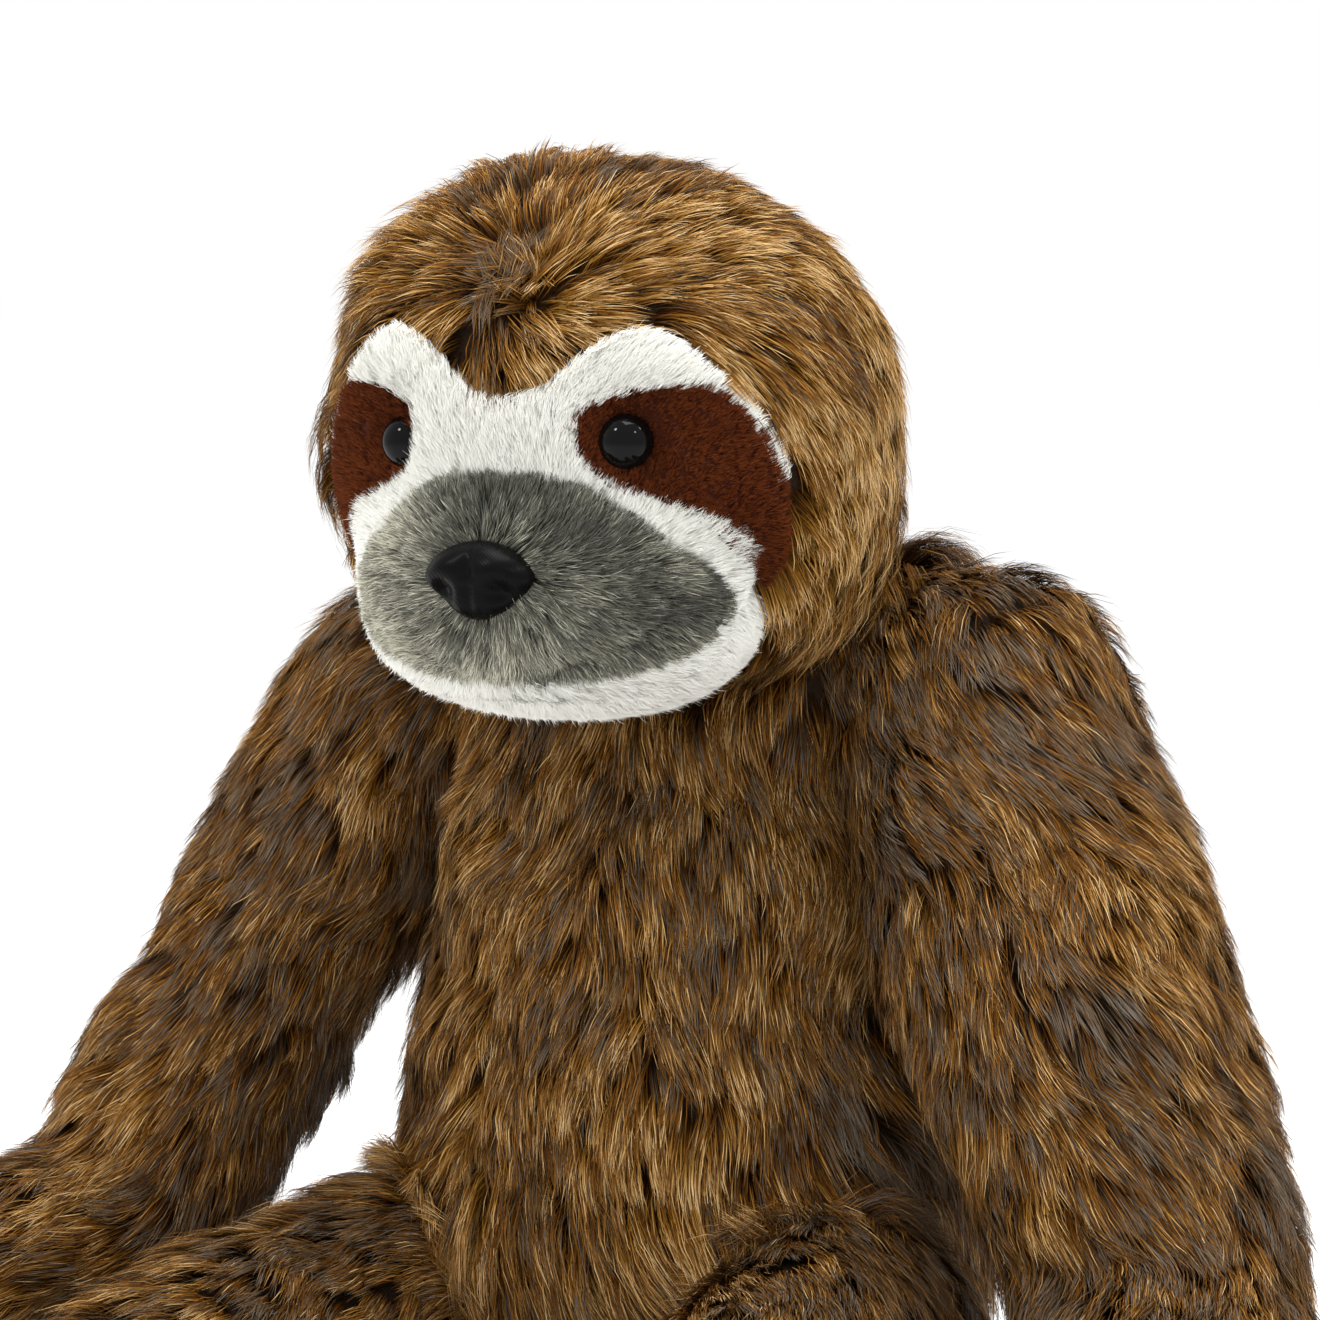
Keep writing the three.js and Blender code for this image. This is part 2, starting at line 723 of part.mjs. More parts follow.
function addArm(side) {
  const word = side > 0 ? 'left' : 'right';
  const { upper, fore, upperLength, foreLength } = armLayout(side);
  const group = groupAt(sloth, upper);
  const endBall = socket(elbowRadius, restGap, rollSides).translate([0, 0, upperLength]);
  const foldRoom = box(
    shoulderRadius, 0, upperLength - elbowRadius - jointGap * 2 + torsoHalfWidth / 2,
    shoulderRadius * 2, shoulderRadius * 4, torsoHalfWidth,
  );
  const cavityEnd = upperLength - elbowRadius - skinThickness - jointGap * 2;
  const cavityCut = box(0, 0, cavityEnd + torsoHalfWidth / 2, shoulderRadius * 4, shoulderRadius * 4, torsoHalfWidth);
  const untilted = new THREE.Matrix4().extractRotation(upper).invert();
  const wad = roll('y', shoulderWad, shoulderWadHalf).transform(untilted.elements);
  const mouthWay = new THREE.Vector3(-side, 0, 0);
  const mouthFrame = mouthFrameIn(upper, mouthWay);
  const mouth = bar(shoulderWad, 0, shoulderRadius + cutOverrun).transform(mouthFrame.elements);

  const cavity = upperArmForm(upperLength, skinThickness, innerSides).subtract(cavityCut);
  const skin = upperArmForm(upperLength, 0, limbSides).subtract(endBall).subtract(foldRoom)
    .subtract(cavity).subtract(mouth);
  addPiece(group, `${word}_upper_arm_skin`, skin, furBrown);
  const wadRoom = roll('y', shoulderWad, shoulderWadHalf, restGap).transform(untilted.elements);
  const shorter = cavityCut.translate([0, 0, -restGap]);
  const filling = upperArmForm(upperLength, skinThickness + restGap, innerSides)
    .subtract(shorter).subtract(wadRoom).subtract(mouth);
  addPiece(group, `${word}_upper_arm_stuffing`, filling, fillingWhite);
  addPiece(group, `${word}_shoulder_stuffing`, wad, fillingWhite);

  const foreGroup = groupAt(group, fore);
  const foreMouth = bar(shoulderWad, -elbowRadius - cutOverrun, -elbowRadius + skinThickness * 2);
  const foreSkin = forearmForm(foreLength, 0, limbSides)
    .subtract(forearmForm(foreLength, skinThickness, innerSides)).subtract(foreMouth);
  addPiece(foreGroup, `${word}_forearm_skin`, foreSkin, furBrown);
  const foreFilling = forearmForm(foreLength, skinThickness + restGap, innerSides);
  addPiece(foreGroup, `${word}_forearm_stuffing`, foreFilling, fillingWhite);

  const forward = new THREE.Vector3(side * (handX - elbowX), handY - elbowY, 0);
  const hand = new THREE.Vector3(side * handX, handY, handZ);
  const clawFrame = frameAlong(forward, up).setPosition(hand);
  const world = upper.clone().multiply(fore);
  const place = world.clone().invert().multiply(clawFrame);
  place.multiply(new THREE.Matrix4().makeTranslation(0, 0, handTip * 1.2));
  const pawRoom = forearmForm(foreLength, -restGap, limbSides);
  addClaws(foreGroup, `${word}_hand`, foreSkin, pawRoom, place);
}

// A frame about a limb's root whose +Z points along a direction given in the sloth's own frame
function mouthFrameIn(limb, way) {
  const local = way.clone().transformDirection(limb.clone().invert());
  const hint = Math.abs(local.x) < Math.abs(local.y) ? new THREE.Vector3(1, 0, 0) : new THREE.Vector3(0, 1, 0);
  return frameAlong(local, hint);
}

// Legs

function addLeg(side) {
  const word = side > 0 ? 'left' : 'right';
  const { frame, length } = legLayout(side);
  const group = groupAt(sloth, frame);
  const untilted = new THREE.Matrix4().extractRotation(frame).invert();
  const mouth = bar(hipWad, -hipRadius - cutOverrun, 0);
  const skin = legForm(length, 0, limbSides).subtract(legForm(length, skinThickness, innerSides)).subtract(mouth);
  addPiece(group, `${word}_leg_skin`, skin, furBrown);
  const filling = legForm(length, skinThickness + restGap, innerSides)
    .subtract(roll('z', hipWad, hipWadHalf, restGap).transform(untilted.elements)).subtract(mouth);
  addPiece(group, `${word}_leg_stuffing`, filling, fillingWhite);
  const wad = roll('z', hipWad, hipWadHalf).transform(untilted.elements);
  addPiece(group, `${word}_hip_stuffing`, wad, fillingWhite);

  const forward = new THREE.Vector3(side * (footX - hipX), footY - hipY, 0);
  const foot = new THREE.Vector3(side * footX, footY, footZ);
  const clawFrame = frameAlong(forward, up).setPosition(foot);
  const place = frame.clone().invert().multiply(clawFrame);
  place.multiply(new THREE.Matrix4().makeTranslation(0, 0, footTip * 0.7));
  const pawRoom = legForm(length, -restGap, limbSides);
  addClaws(group, `${word}_foot`, skin, pawRoom, place);
}

addTorso(sloth);
addNeck(sloth);
const head = new THREE.Group();
head.position.set(0, headY, headZ);
sloth.add(head);
addHead(head);
for (const side of [1, -1]) {
  addArm(side);
  addLeg(side);
}

export default sloth;
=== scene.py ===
"""The looks of a seated plush sloth: two-tone fur, a white face, a grey muzzle, eyes, nose and claws."""

import math
from dataclasses import dataclass

import bpy
import numpy as np
from bpy.props import FloatProperty, FloatVectorProperty, IntProperty, PointerProperty
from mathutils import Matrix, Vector
from mathutils.bvhtree import BVHTree


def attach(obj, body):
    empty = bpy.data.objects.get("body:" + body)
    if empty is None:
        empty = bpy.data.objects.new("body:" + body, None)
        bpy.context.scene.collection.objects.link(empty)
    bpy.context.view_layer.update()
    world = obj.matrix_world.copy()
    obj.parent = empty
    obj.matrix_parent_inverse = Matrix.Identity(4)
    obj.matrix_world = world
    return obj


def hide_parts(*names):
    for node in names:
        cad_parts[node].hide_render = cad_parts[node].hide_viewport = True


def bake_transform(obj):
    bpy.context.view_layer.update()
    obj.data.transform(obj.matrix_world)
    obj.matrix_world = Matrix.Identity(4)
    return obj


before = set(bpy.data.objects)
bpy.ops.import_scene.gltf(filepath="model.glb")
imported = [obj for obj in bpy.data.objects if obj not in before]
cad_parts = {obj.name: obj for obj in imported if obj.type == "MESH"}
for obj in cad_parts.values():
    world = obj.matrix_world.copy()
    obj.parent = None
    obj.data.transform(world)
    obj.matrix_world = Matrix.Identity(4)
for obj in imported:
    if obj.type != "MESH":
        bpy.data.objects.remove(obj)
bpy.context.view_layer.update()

bl_info = {
    "name": "Plush sloth",
    "version": (1, 0, 0),
    "blender": (4, 5, 0),
    "location": "View3D > Sidebar > Sloth",
    "description": "Builds the fur, face, eyes, nose and claws of a plush sloth around its frame",
    "category": "Add Mesh",
}

MM = 0.001
PANEL_TAB = "Sloth"
SIDES = {"left": 1, "right": -1}

# How far a skin is let out over the filling in it, and by how much it clears it, in millimetres
FILLING_REACH = 9
FILLING_GAP = 1

# The torso's rows of height, half width, half depth and place back, as shares of its sizes in millimetres
TORSO_HEIGHT = 378.5
TORSO_LOW = -0.5
TORSO_HALF_WIDTH = 124
TORSO_HALF_DEPTH = 104
TORSO_ROWS = [
    (0.0, 0.66, 0.68, 0.0),
    (0.021, 0.81, 0.85, 0.0),
    (0.08, 0.93, 0.96, 0.0),
    (0.185, 0.99, 1.0, -0.02),
    (0.29, 1.0, 1.02, -0.06),
    (0.4, 0.975, 0.96, -0.06),
    (0.505, 0.92, 0.9, -0.06),
    (0.61, 0.85, 0.83, -0.04),
    (0.715, 0.795, 0.77, 0.0),
    (0.805, 0.8, 0.71, 0.04),
    (0.885, 0.9, 0.66, 0.11),
    (0.947, 0.94, 0.6, 0.14),
    (0.984, 0.87, 0.5, 0.155),
    (1.0, 0.0, 0.0, 0.155),
]

# The head's rows of height, width and depth, as shares of its half sizes
HEAD_CENTRE = (0, -62, 428)
HEAD_HALF = (114, 97, 104)
HEAD_FUR_MOVE = -2
HEAD_FUR_WIDER = 3
HEAD_SQUARENESS = 2.3
HEAD_ROOM = (130, 110, 107)
HEAD_ROWS = [
    (-1.0, 0.0, 0.0),
    (-0.94, 0.38, 0.38),
    (-0.82, 0.61, 0.61),
    (-0.6, 0.82, 0.83),
    (-0.34, 0.95, 0.96),
    (-0.06, 1.0, 1.0),
    (0.2, 0.99, 0.99),
    (0.46, 0.92, 0.91),
    (0.68, 0.77, 0.76),
    (0.84, 0.58, 0.57),
    (0.95, 0.345, 0.34),
    (1.0, 0.0, 0.0),
]

# Half of the white mask's outline and the outline of an eye patch, across and up from the head's centre.
# The sewn face isn't quite even: on the right the mask is narrower and the patch starts further out.
MASK_HALF = [
    (0, 10), (11, 11), (22, 16.5), (33, 26), (44, 33), (52, 36), (56.5, 36.5), (61, 34.5), (68, 30),
    (78, 21), (88.5, 9.5), (95, -4), (97.5, -16), (94, -29), (90, -41), (83, -52), (80, -62), (77, -73),
    (71, -84), (59, -93), (34, -99),
]
PATCH_OUTLINE = [
    (31.5, 3), (36.5, 9.5), (49, 14.5), (64, 16.8), (77.5, 16.3), (87, 9), (94.5, -5), (97.5, -23),
    (95.5, -41), (90, -54), (86.5, -56), (88, -41), (80.5, -32), (68, -27), (54, -23), (39.5, -16.5),
    (33.5, -7),
]
MUZZLE_HALF = [
    (0, -18), (20, -19), (38, -24), (51, -32), (64, -42), (74, -51), (79, -61), (76, -74), (62, -84),
    (39, -90), (14, -92),
]
MASK_FAR = 0.93
MUZZLE_FAR = 0.87
PATCH_FAR = 0.78
PATCH_FAR_MOVE = 14.4

# Soft rises of the face beside its middle: place across and up, and reach across and up
BROW = (56, 28)
BROW_REACH = (24, 11)
BROW_RISE = 3
BRIDGE = (35, -3)
BRIDGE_REACH = (9, 16)
BRIDGE_RISE = 3.5

# Places on the face, from the head's centre. Short pile lies away from the two flow places
FACE_FLOW = (0, -80, -60)
MUZZLE_FLOW = (0, -104, -50)
SNOUT_PLACE = (0, -46, -60)
SNOUT_HALF = (82, 60, 51)
SNOUT_POWER = 2.4
SNOUT_BLEND = 5
NOSE_PLACE = (0, -111, -55)
NOSE_HALF = (23, 11, 15)
EYE_RADIUS = 10.5
EYE_PLACES = {"left": (49, -87, -3), "right": (-47, -84.5, -5)}
EYE_TURN = 0.39
SOCKET = (EYE_PLACES["left"][0], EYE_PLACES["left"][2])
SOCKET_DEPTH = 8
SOCKET_REACH = (19, 19)
WHORL = (-4.5, -81, 61)

# The limbs, for the sloth's left side
ELBOW = (232, -76, 85)
HAND = (303, -222, 42)
ARM_PLACES = (0, 62, 124, 187, 249, 291, 333, 380, 417)
ARM_SIZES = {
    "left": (59, 62.5, 65.5, 60.5, 56, 51, 45.5, 40, 42),
    "right": (56, 54, 51.5, 50, 49, 47, 44, 40, 42),
}
ARM_TOPS = {"left": (125, 1, 314), "right": (138, 0, 304)}
ELBOW_OUT = {"left": 12, "right": 0}
HAND_TIP = 38
HIP = (98, -68, 66)
FOOT = (128, -280, 47)
LEG_ROWS = [(0, 59), (56, 56), (112, 52), (164, 48), (215, 44)]
FOOT_TIP = 34
CLAWS = 3
CLAW_LENGTH = 52
CLAW_RADIUS = 9
CLAW_TIP_RADIUS = 2.4
CLAW_BEND = 26
CLAW_SPREAD = 23


# Vectors, curves and noise

def unit(rows):
    """Rows of vectors, each made one long."""
    return rows / np.maximum(np.linalg.norm(rows, axis=-1, keepdims=True), 1e-12)


def along_surface(ways, normals):
    """Directions laid flat on a surface, one long."""
    return unit(ways - normals * np.sum(ways * normals, axis=-1, keepdims=True))


def smooth_step(x, low, high):
    """0 below low and 1 above high, with a smooth rise between them."""
    t = np.clip((x - low) / (high - low), 0, 1)
    return t * t * (3 - 2 * t)


def through(at, rows, wanted):
    """Rows read off a smooth curve through given rows."""
    slope = np.gradient(rows, at, axis=0)
    i = np.clip(np.searchsorted(at, wanted, side="right") - 1, 0, len(at) - 2)
    gap = (at[i + 1] - at[i])[:, None]
    t = (wanted - at[i])[:, None] / gap
    start = (2 * t**3 - 3 * t**2 + 1) * rows[i] + (t**3 - 2 * t**2 + t) * gap * slope[i]
    end = (3 * t**2 - 2 * t**3) * rows[i + 1] + (t**3 - t**2) * gap * slope[i + 1]
    return start + end


def evenly(rows, count):
    """Rows spaced evenly along a smooth profile, whose height and half width come first."""
    at = np.concatenate([[0], np.cumsum(np.hypot(*np.diff(rows[:, :2], axis=0).T))])
    return through(at, rows, np.linspace(0, at[-1], count))


NOISE_CELLS = 64
NOISE_START = 37.5
NOISE_GAIN = 1.6


def patches_of(points, size, seed):
    """Smooth noise from about -1 to 1 at points, in patches of about a size."""
    cell = points / size + NOISE_START
    low = np.floor(cell).astype(int)
    share = cell - low
    share = share * share * (3 - 2 * share)
    table = np.random.default_rng(seed).uniform(-1, 1, (NOISE_CELLS,) * 3)
    total = 0
    for corner in np.ndindex(2, 2, 2):
        spot = (low + corner) % NOISE_CELLS
        weight = np.prod(np.where(corner, share, 1 - share), axis=-1)
        total = total + weight * table[spot[..., 0], spot[..., 1], spot[..., 2]]
    return total * NOISE_GAIN


def bell(gaps, reach):
    """1 where there is no gap, and falling smoothly as the gap grows past a reach."""
    return np.exp(-((gaps / reach) ** 2))


def oval(x, z, middle, reach):
    """1 at a place, and falling smoothly round it over a reach across and a reach up."""
    return bell(np.hypot((x - middle[0]) / reach[0], (z - middle[1]) / reach[1]), 1)


def head_place(place):
    """A place in metres, given in millimetres from the head's centre."""
    return (np.array(HEAD_CENTRE) + place) * MM


def from_head(points):
    """Points measured from the head's centre, in millimetres."""
    return points / MM - HEAD_CENTRE


def on_face(points):
    """How far across and up the face points lie, in millimetres from the head's centre."""
    return from_head(points)[..., [0, 2]]


def turned(ways, normals, angles):
    """Directions turned about normals by angles."""
    cosine = np.cos(angles)[..., None]
    sine = np.sin(angles)[..., None]
    return ways * cosine + np.cross(normals, ways) * sine


# Meshes

def placed(name, data):
    """A new object in the scene."""
    made = bpy.data.objects.new(name, data)
    bpy.context.scene.collection.objects.link(made)
    return made


def new_piece(name, points, faces):
    """A smooth mesh object, with its points in metres."""
    mesh = bpy.data.meshes.new(name)
    mesh.from_pydata([tuple(p) for p in points], [], faces)
    mesh.validate()
    mesh.polygons.foreach_set("use_smooth", [True] * len(mesh.polygons))
    return placed(name, mesh)


def loft(name, rings, start, end):
    """A closed skin through rings of points, with a point at each end."""
    count, sides = rings.shape[:2]
    points = np.concatenate([rings.reshape(-1, 3), [start], [end]])
    first, last = count * sides, count * sides + 1
    faces = []
    for i in range(sides):
        j = (i + 1) % sides
        faces.append((first, j, i))
        for ring in range(count - 1):
            low, high = ring * sides, (ring + 1) * sides
            faces.append((low + i, low + j, high + j, high + i))
        top = (count - 1) * sides
        faces.append((last, top + i, top + j))
    return new_piece(name, points, faces)


def read_points(piece):
    """A piece's points and their normals."""
    points = np.empty(len(piece.data.vertices) * 3)
    normals = np.empty(len(piece.data.vertices) * 3)
    piece.data.vertices.foreach_get("co", points)
    piece.data.vertices.foreach_get("normal", normals)
    return points.reshape(-1, 3), normals.reshape(-1, 3)


def set_points(piece, points):
    """Moves a piece's points."""
    piece.data.vertices.foreach_set("co", points.reshape(-1))
    piece.data.update()


# The size of a stuffed skin's folds in millimetres, and how they are drawn out
FOLD_SIZE = 27
FOLD_STRETCH = (0.55, 0.55, 1)


def crumpled(skin, depth, seed):
    """Gives a stuffed skin soft folds, wider across than they are tall, and rests it on the floor."""
    points, normals = read_points(skin)
    rise = patches_of(points * FOLD_STRETCH, FOLD_SIZE * MM, seed) * depth * MM
    points = points + normals * rise[:, None]
    points[:, 2] = np.maximum(points[:, 2], 0)
    set_points(skin, points)


def let_out(skin, fillings):
    """Moves a skin's points out where the filling in it would show."""
    points, normals = read_points(skin)
    for name in fillings:
        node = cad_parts[name]
        places = [node.matrix_world @ v.co for v in node.data.vertices]
        tree = BVHTree.FromPolygons(places, [face.vertices[:] for face in node.data.polygons])
        for i, (point, normal) in enumerate(zip(points, normals)):
            way = Vector(normal)
            start = Vector(point) - way * FILLING_GAP * MM
            hit, facing = tree.ray_cast(start, way, FILLING_REACH * MM)[:2]
            if hit is not None and facing.dot(way) > 0:
                points[i] = hit + way * FILLING_GAP * MM
    set_points(skin, points)


def level_rings(rows, sides, squareness=2.0):
    """Level oval rings from rows of height, half width, half depth and place along Y, in millimetres."""
    turn = np.linspace(0, 2 * np.pi, sides, endpoint=False)
    power = np.where(np.sin(turn) < 0, 2 / squareness, 1.0)
    x = rows[:, 1:2] * np.sign(np.cos(turn)) * np.abs(np.cos(turn)) ** power
    y = rows[:, 3:4] + rows[:, 2:3] * np.sign(np.sin(turn)) * np.abs(np.sin(turn)) ** power
    z = np.broadcast_to(rows[:, 0:1], x.shape)
    return np.stack([x, y, z], axis=-1) * MM


LEAST_HALF = 3


def torso_skin(inset, sides=72, count=64):
    """The torso's knitted skin, hollowed under the head."""
    rows = np.array(TORSO_ROWS)
    wide = np.stack([
        TORSO_LOW + rows[:, 0] * TORSO_HEIGHT,
        rows[:, 1] * TORSO_HALF_WIDTH,
        rows[:, 2] * TORSO_HALF_DEPTH,
        rows[:, 3] * TORSO_HALF_DEPTH,
    ], axis=1)
    full = evenly(wide, count)[:-1]
    full[:, 0] = np.clip(full[:, 0], 0, TORSO_HEIGHT - inset)
    full[:, 1:3] = np.maximum(full[:, 1:3] - inset, LEAST_HALF)
    rings = level_rings(full, sides)
    room = np.array(HEAD_ROOM) * MM
    centre = head_place(0)
    share = np.linalg.norm((rings - centre) / room, axis=-1, keepdims=True)
    rings = np.where(share < 1, centre + (rings - centre) / np.maximum(share, 1e-3), rings)
    start = (0, 0, 0)
    top = rings[-1].mean(axis=0)
    return loft("torso_cloth", rings, start, top)


def head_rows(inset, wider=0, count=48):
    """The head's rows of height, half width, half depth and place along Y, in millimetres."""
    rows = np.array(HEAD_ROWS)
    wide, deep, high = np.array(HEAD_HALF) + (wider, 0, 0) - inset
    tall = np.stack([rows[:, 0] * high, rows[:, 1] * wide, rows[:, 2] * deep, rows[:, 0] * 0], axis=1)
    return evenly(tall, count)


def head_skin(inset, sides=72):
    """The head's knitted skin."""
    rows = head_rows(inset, HEAD_FUR_WIDER)
    move = head_place((HEAD_FUR_MOVE, 0, 0))
    rings = level_rings(rows[1:-1], sides, HEAD_SQUARENESS) + move
    ends = [move + np.array([0, 0, row[0]]) * MM for row in (rows[0], rows[-1])]
    return loft("head_cloth", rings, *ends)


def head_front(x, z):
    """How far forward the face lies at places across and up, in millimetres from the head's centre."""
    rows = head_rows(0)
    order = np.argsort(rows[:, 0])
    wide = np.interp(z, rows[order, 0], rows[order, 1])
    deep = np.interp(z, rows[order, 0], rows[order, 2])
    share = np.clip(np.abs(x) / np.maximum(wide, 1), 0, 0.995)
    face = -deep * (1 - share**HEAD_SQUARENESS) ** (1 / HEAD_SQUARENESS)
    out = np.abs(x)
    face = face + SOCKET_DEPTH * oval(out, z, SOCKET, SOCKET_REACH)
    face = face - BROW_RISE * oval(out, z, BROW, BROW_REACH)
    face = face - BRIDGE_RISE * oval(out, z, BRIDGE, BRIDGE_REACH)
    height = np.abs(z - SNOUT_PLACE[2]) / SNOUT_HALF[2]
    tall = np.clip(1 - height**SNOUT_POWER, 0, 1) ** (2 / SNOUT_POWER)
    reach = np.sqrt(np.clip(tall - (x / SNOUT_HALF[0]) ** 2, 0, 1))
    snout = SNOUT_PLACE[1] - SNOUT_HALF[1] * reach
    return -SNOUT_BLEND * np.logaddexp(-face / SNOUT_BLEND, -snout / SNOUT_BLEND)


ROUND_STEPS = 9


def rounded_path(corners, reach, step):
    """Points along a line through corners, with each inner corner rounded off."""
    corners = [np.array(c, float) for c in corners]
    points = [corners[0]]
    for before, corner, after in zip(corners, corners[1:], corners[2:]):
        start = corner + unit(before - corner) * reach
        end = corner + unit(after - corner) * reach
        for t in np.linspace(0, 1, ROUND_STEPS):
            points.append((1 - t) ** 2 * start + 2 * t * (1 - t) * corner + t**2 * end)
    points.append(corners[-1])
    points = np.array(points)
    at = np.concatenate([[0], np.cumsum(np.linalg.norm(np.diff(points, axis=0), axis=1))])
    wanted = np.linspace(0, at[-1], max(2, round(at[-1] / step)))
    return np.stack([np.interp(wanted, at, points[:, i]) for i in range(3)], axis=1), wanted


def limb_skin(name, corners, rows, tip, inset, sides=56, step=6, reach=36):
    """A limb's sleeve along its bones, round at the root and at the paw."""
    rows = np.array(rows, float)
    path, at = rounded_path(corners, reach, step)
    at = at * rows[-1, 0] / at[-1]
    radii = through(rows[:, 0], rows[:, 1:], at)[:, 0] - inset
    ways = unit(np.gradient(path, axis=0))
    turns = np.linspace(0, np.pi / 2, ROUND_STEPS)[1:-1]
    root = radii[0]
    before = [path[0] - ways[0] * root * math.cos(t) for t in turns]
    after = [path[-1] + ways[-1] * (tip - inset) * math.sin(t) for t in turns]
    centres = np.array([*before, *path, *after])
    sizes = np.array([*(root * np.sin(turns)), *radii, *(radii[-1] * np.cos(turns))])
    lines = np.array([ways[0]] * len(before) + list(ways) + [ways[-1]] * len(after))
    across = along_surface(np.array([[1.0, 0, 0]]), lines[:1])[0]
    rings = []
    turn = np.linspace(0, 2 * np.pi, sides, endpoint=False)[:, None]
    for centre, size, line in zip(centres, sizes, lines):
        across = along_surface(across[None], line[None])[0]
        other = np.cross(line, across)
        rings.append((centre + size * (np.cos(turn) * across + np.sin(turn) * other)) * MM)
    ends = (path[0] - ways[0] * root) * MM, (path[-1] + ways[-1] * (tip - inset)) * MM
    return loft(name, np.array(rings), *ends)


def mirrored(corners, side):
    """Corners of the left side, for this side."""
    return [(side * x, y, z) for x, y, z in corners]


def outline(points, steps=6):
    """A smooth closed outline through points across and up."""
    points = np.array(points, float)
    count = len(points)
    ring = np.concatenate([points[-3:], points, points[:3]])
    return through(np.arange(-3.0, count + 3), ring, np.arange(0, count, 1 / steps))


def both_halves(half, far):
    """An outline from its near half, with the far half narrower by a share."""
    half = np.array(half, float)
    return outline(np.concatenate([half, (half[1:] * (-far, 1))[::-1]]))


def patch_outline(side):
    """The outline of one eye patch."""
    points = np.array(PATCH_OUTLINE, float)
    if side < 0:
        points[:, 0] = -(points[:, 0] * PATCH_FAR + PATCH_FAR_MOVE)
    return outline(points)


MASK_RING = both_halves(MASK_HALF, MASK_FAR)
MUZZLE_RING = both_halves(MUZZLE_HALF, MUZZLE_FAR)
PATCH_RINGS = {word: patch_outline(side) for word, side in SIDES.items()}


def inside(points, ring):
    """Which places lie inside a closed outline."""
    hit = np.zeros(points.shape[:-1], bool)
    for a, b in zip(ring, np.roll(ring, -1, axis=0)):
        spans = (a[1] > points[..., 1]) != (b[1] > points[..., 1])
        cross = a[0] + (points[..., 1] - a[1]) * (b[0] - a[0]) / (b[1] - a[1] + 1e-12)
        hit ^= spans & (points[..., 0] < cross)
    return hit


def panel(name, ring, centre, lift, layers=40, hem=4):
    """A sewn panel on the front of the head, filled in from its outline, with its hem turned in."""
    shares = np.concatenate([[1.0], np.cos(np.linspace(0, np.pi / 2, layers + 1))[:-1]])
    rings = []
    for i, share in enumerate(shares):
        across, up = (np.array(centre) + (ring - centre) * share).T
        height = lift - (hem if i == 0 else 0)
        rings.append(np.stack([across, head_front(across, up) - height, up], axis=1))
    rings = head_place(np.array(rings))
    middle = np.array([[centre[0], 0, centre[1]]], float)
    middle[:, 1] = head_front(middle[:, 0], middle[:, 2]) - lift
    count, sides = rings.shape[:2]
    points = np.concatenate([rings.reshape(-1, 3), head_place(middle)])
    faces = []
    for i in range(sides):
        j = (i + 1) % sides
        for layer in range(count - 1):
            low, high = layer * sides, (layer + 1) * sides
            faces.append((low + i, low + j, high + j, high + i))
        top = (count - 1) * sides
        faces.append((top + i, top + j, count * sides))
    piece = new_piece(name, points, faces)
    facing = np.empty(len(piece.data.polygons) * 3)
    piece.data.polygons.foreach_get("normal", facing)
    if facing.reshape(-1, 3)[:, 1].sum() > 0:
        piece.data.flip_normals()
    return piece


def round_grid(sides, rows):
    """Angles from a ball's front to its back, as a column, and angles about it, as a row."""
    turns = np.linspace(0, np.pi, rows)[1:-1, None]
    around = np.linspace(0, 2 * np.pi, sides, endpoint=False)[None, :]
    return turns, around


def bulge(name, place, half, power=SNOUT_POWER, sides=96, rows=56):
    """A stuffed oval form on the head, a little boxy from top to bottom."""
    turns = np.linspace(0, np.pi, rows)
    profile = np.stack([
        -np.sign(np.cos(turns)) * np.abs(np.cos(turns)) ** (2 / power) * half[2],
        np.sin(turns) ** (2 / power) * half[0],
        np.sin(turns) ** (2 / power) * half[1],
        turns * 0,
    ], axis=1)
    move = head_place(place)
    rings = level_rings(profile[1:-1], sides) + move
    ends = [move + np.array([0, 0, z]) * MM for z in (-half[2], half[2])]
    return loft(name, rings, *ends)


# Shader maths

def maths(operation, reflected=False):
    """An operator that adds a Math node for an expression."""

    def work(wire, other):
        a, b = (other, wire) if reflected else (wire, other)
        return wire.paint.node("ShaderNodeMath", {"operation": operation}, {0: a, 1: b})

    return work


class Wire:
    """A socket that adds maths nodes when it is used in an expression."""

    __add__ = maths("ADD")
    __radd__ = maths("ADD", reflected=True)
    __sub__ = maths("SUBTRACT")
    __rsub__ = maths("SUBTRACT", reflected=True)
    __mul__ = maths("MULTIPLY")
    __rmul__ = maths("MULTIPLY", reflected=True)
    __truediv__ = maths("DIVIDE")

    def __init__(self, paint, socket):
        self.paint = paint
        self.socket = socket

    def clamped(self):
        """The value held between 0 and 1."""
        return self.paint.node("ShaderNodeClamp", {}, {"Value": self})


# The strands' map, how far a ribbon reaches across its tones, and how many fibres the tones' width shows
STRAND_MAP = "OFBake"
STRAND_TONES = 0.014
FIBRES = 150


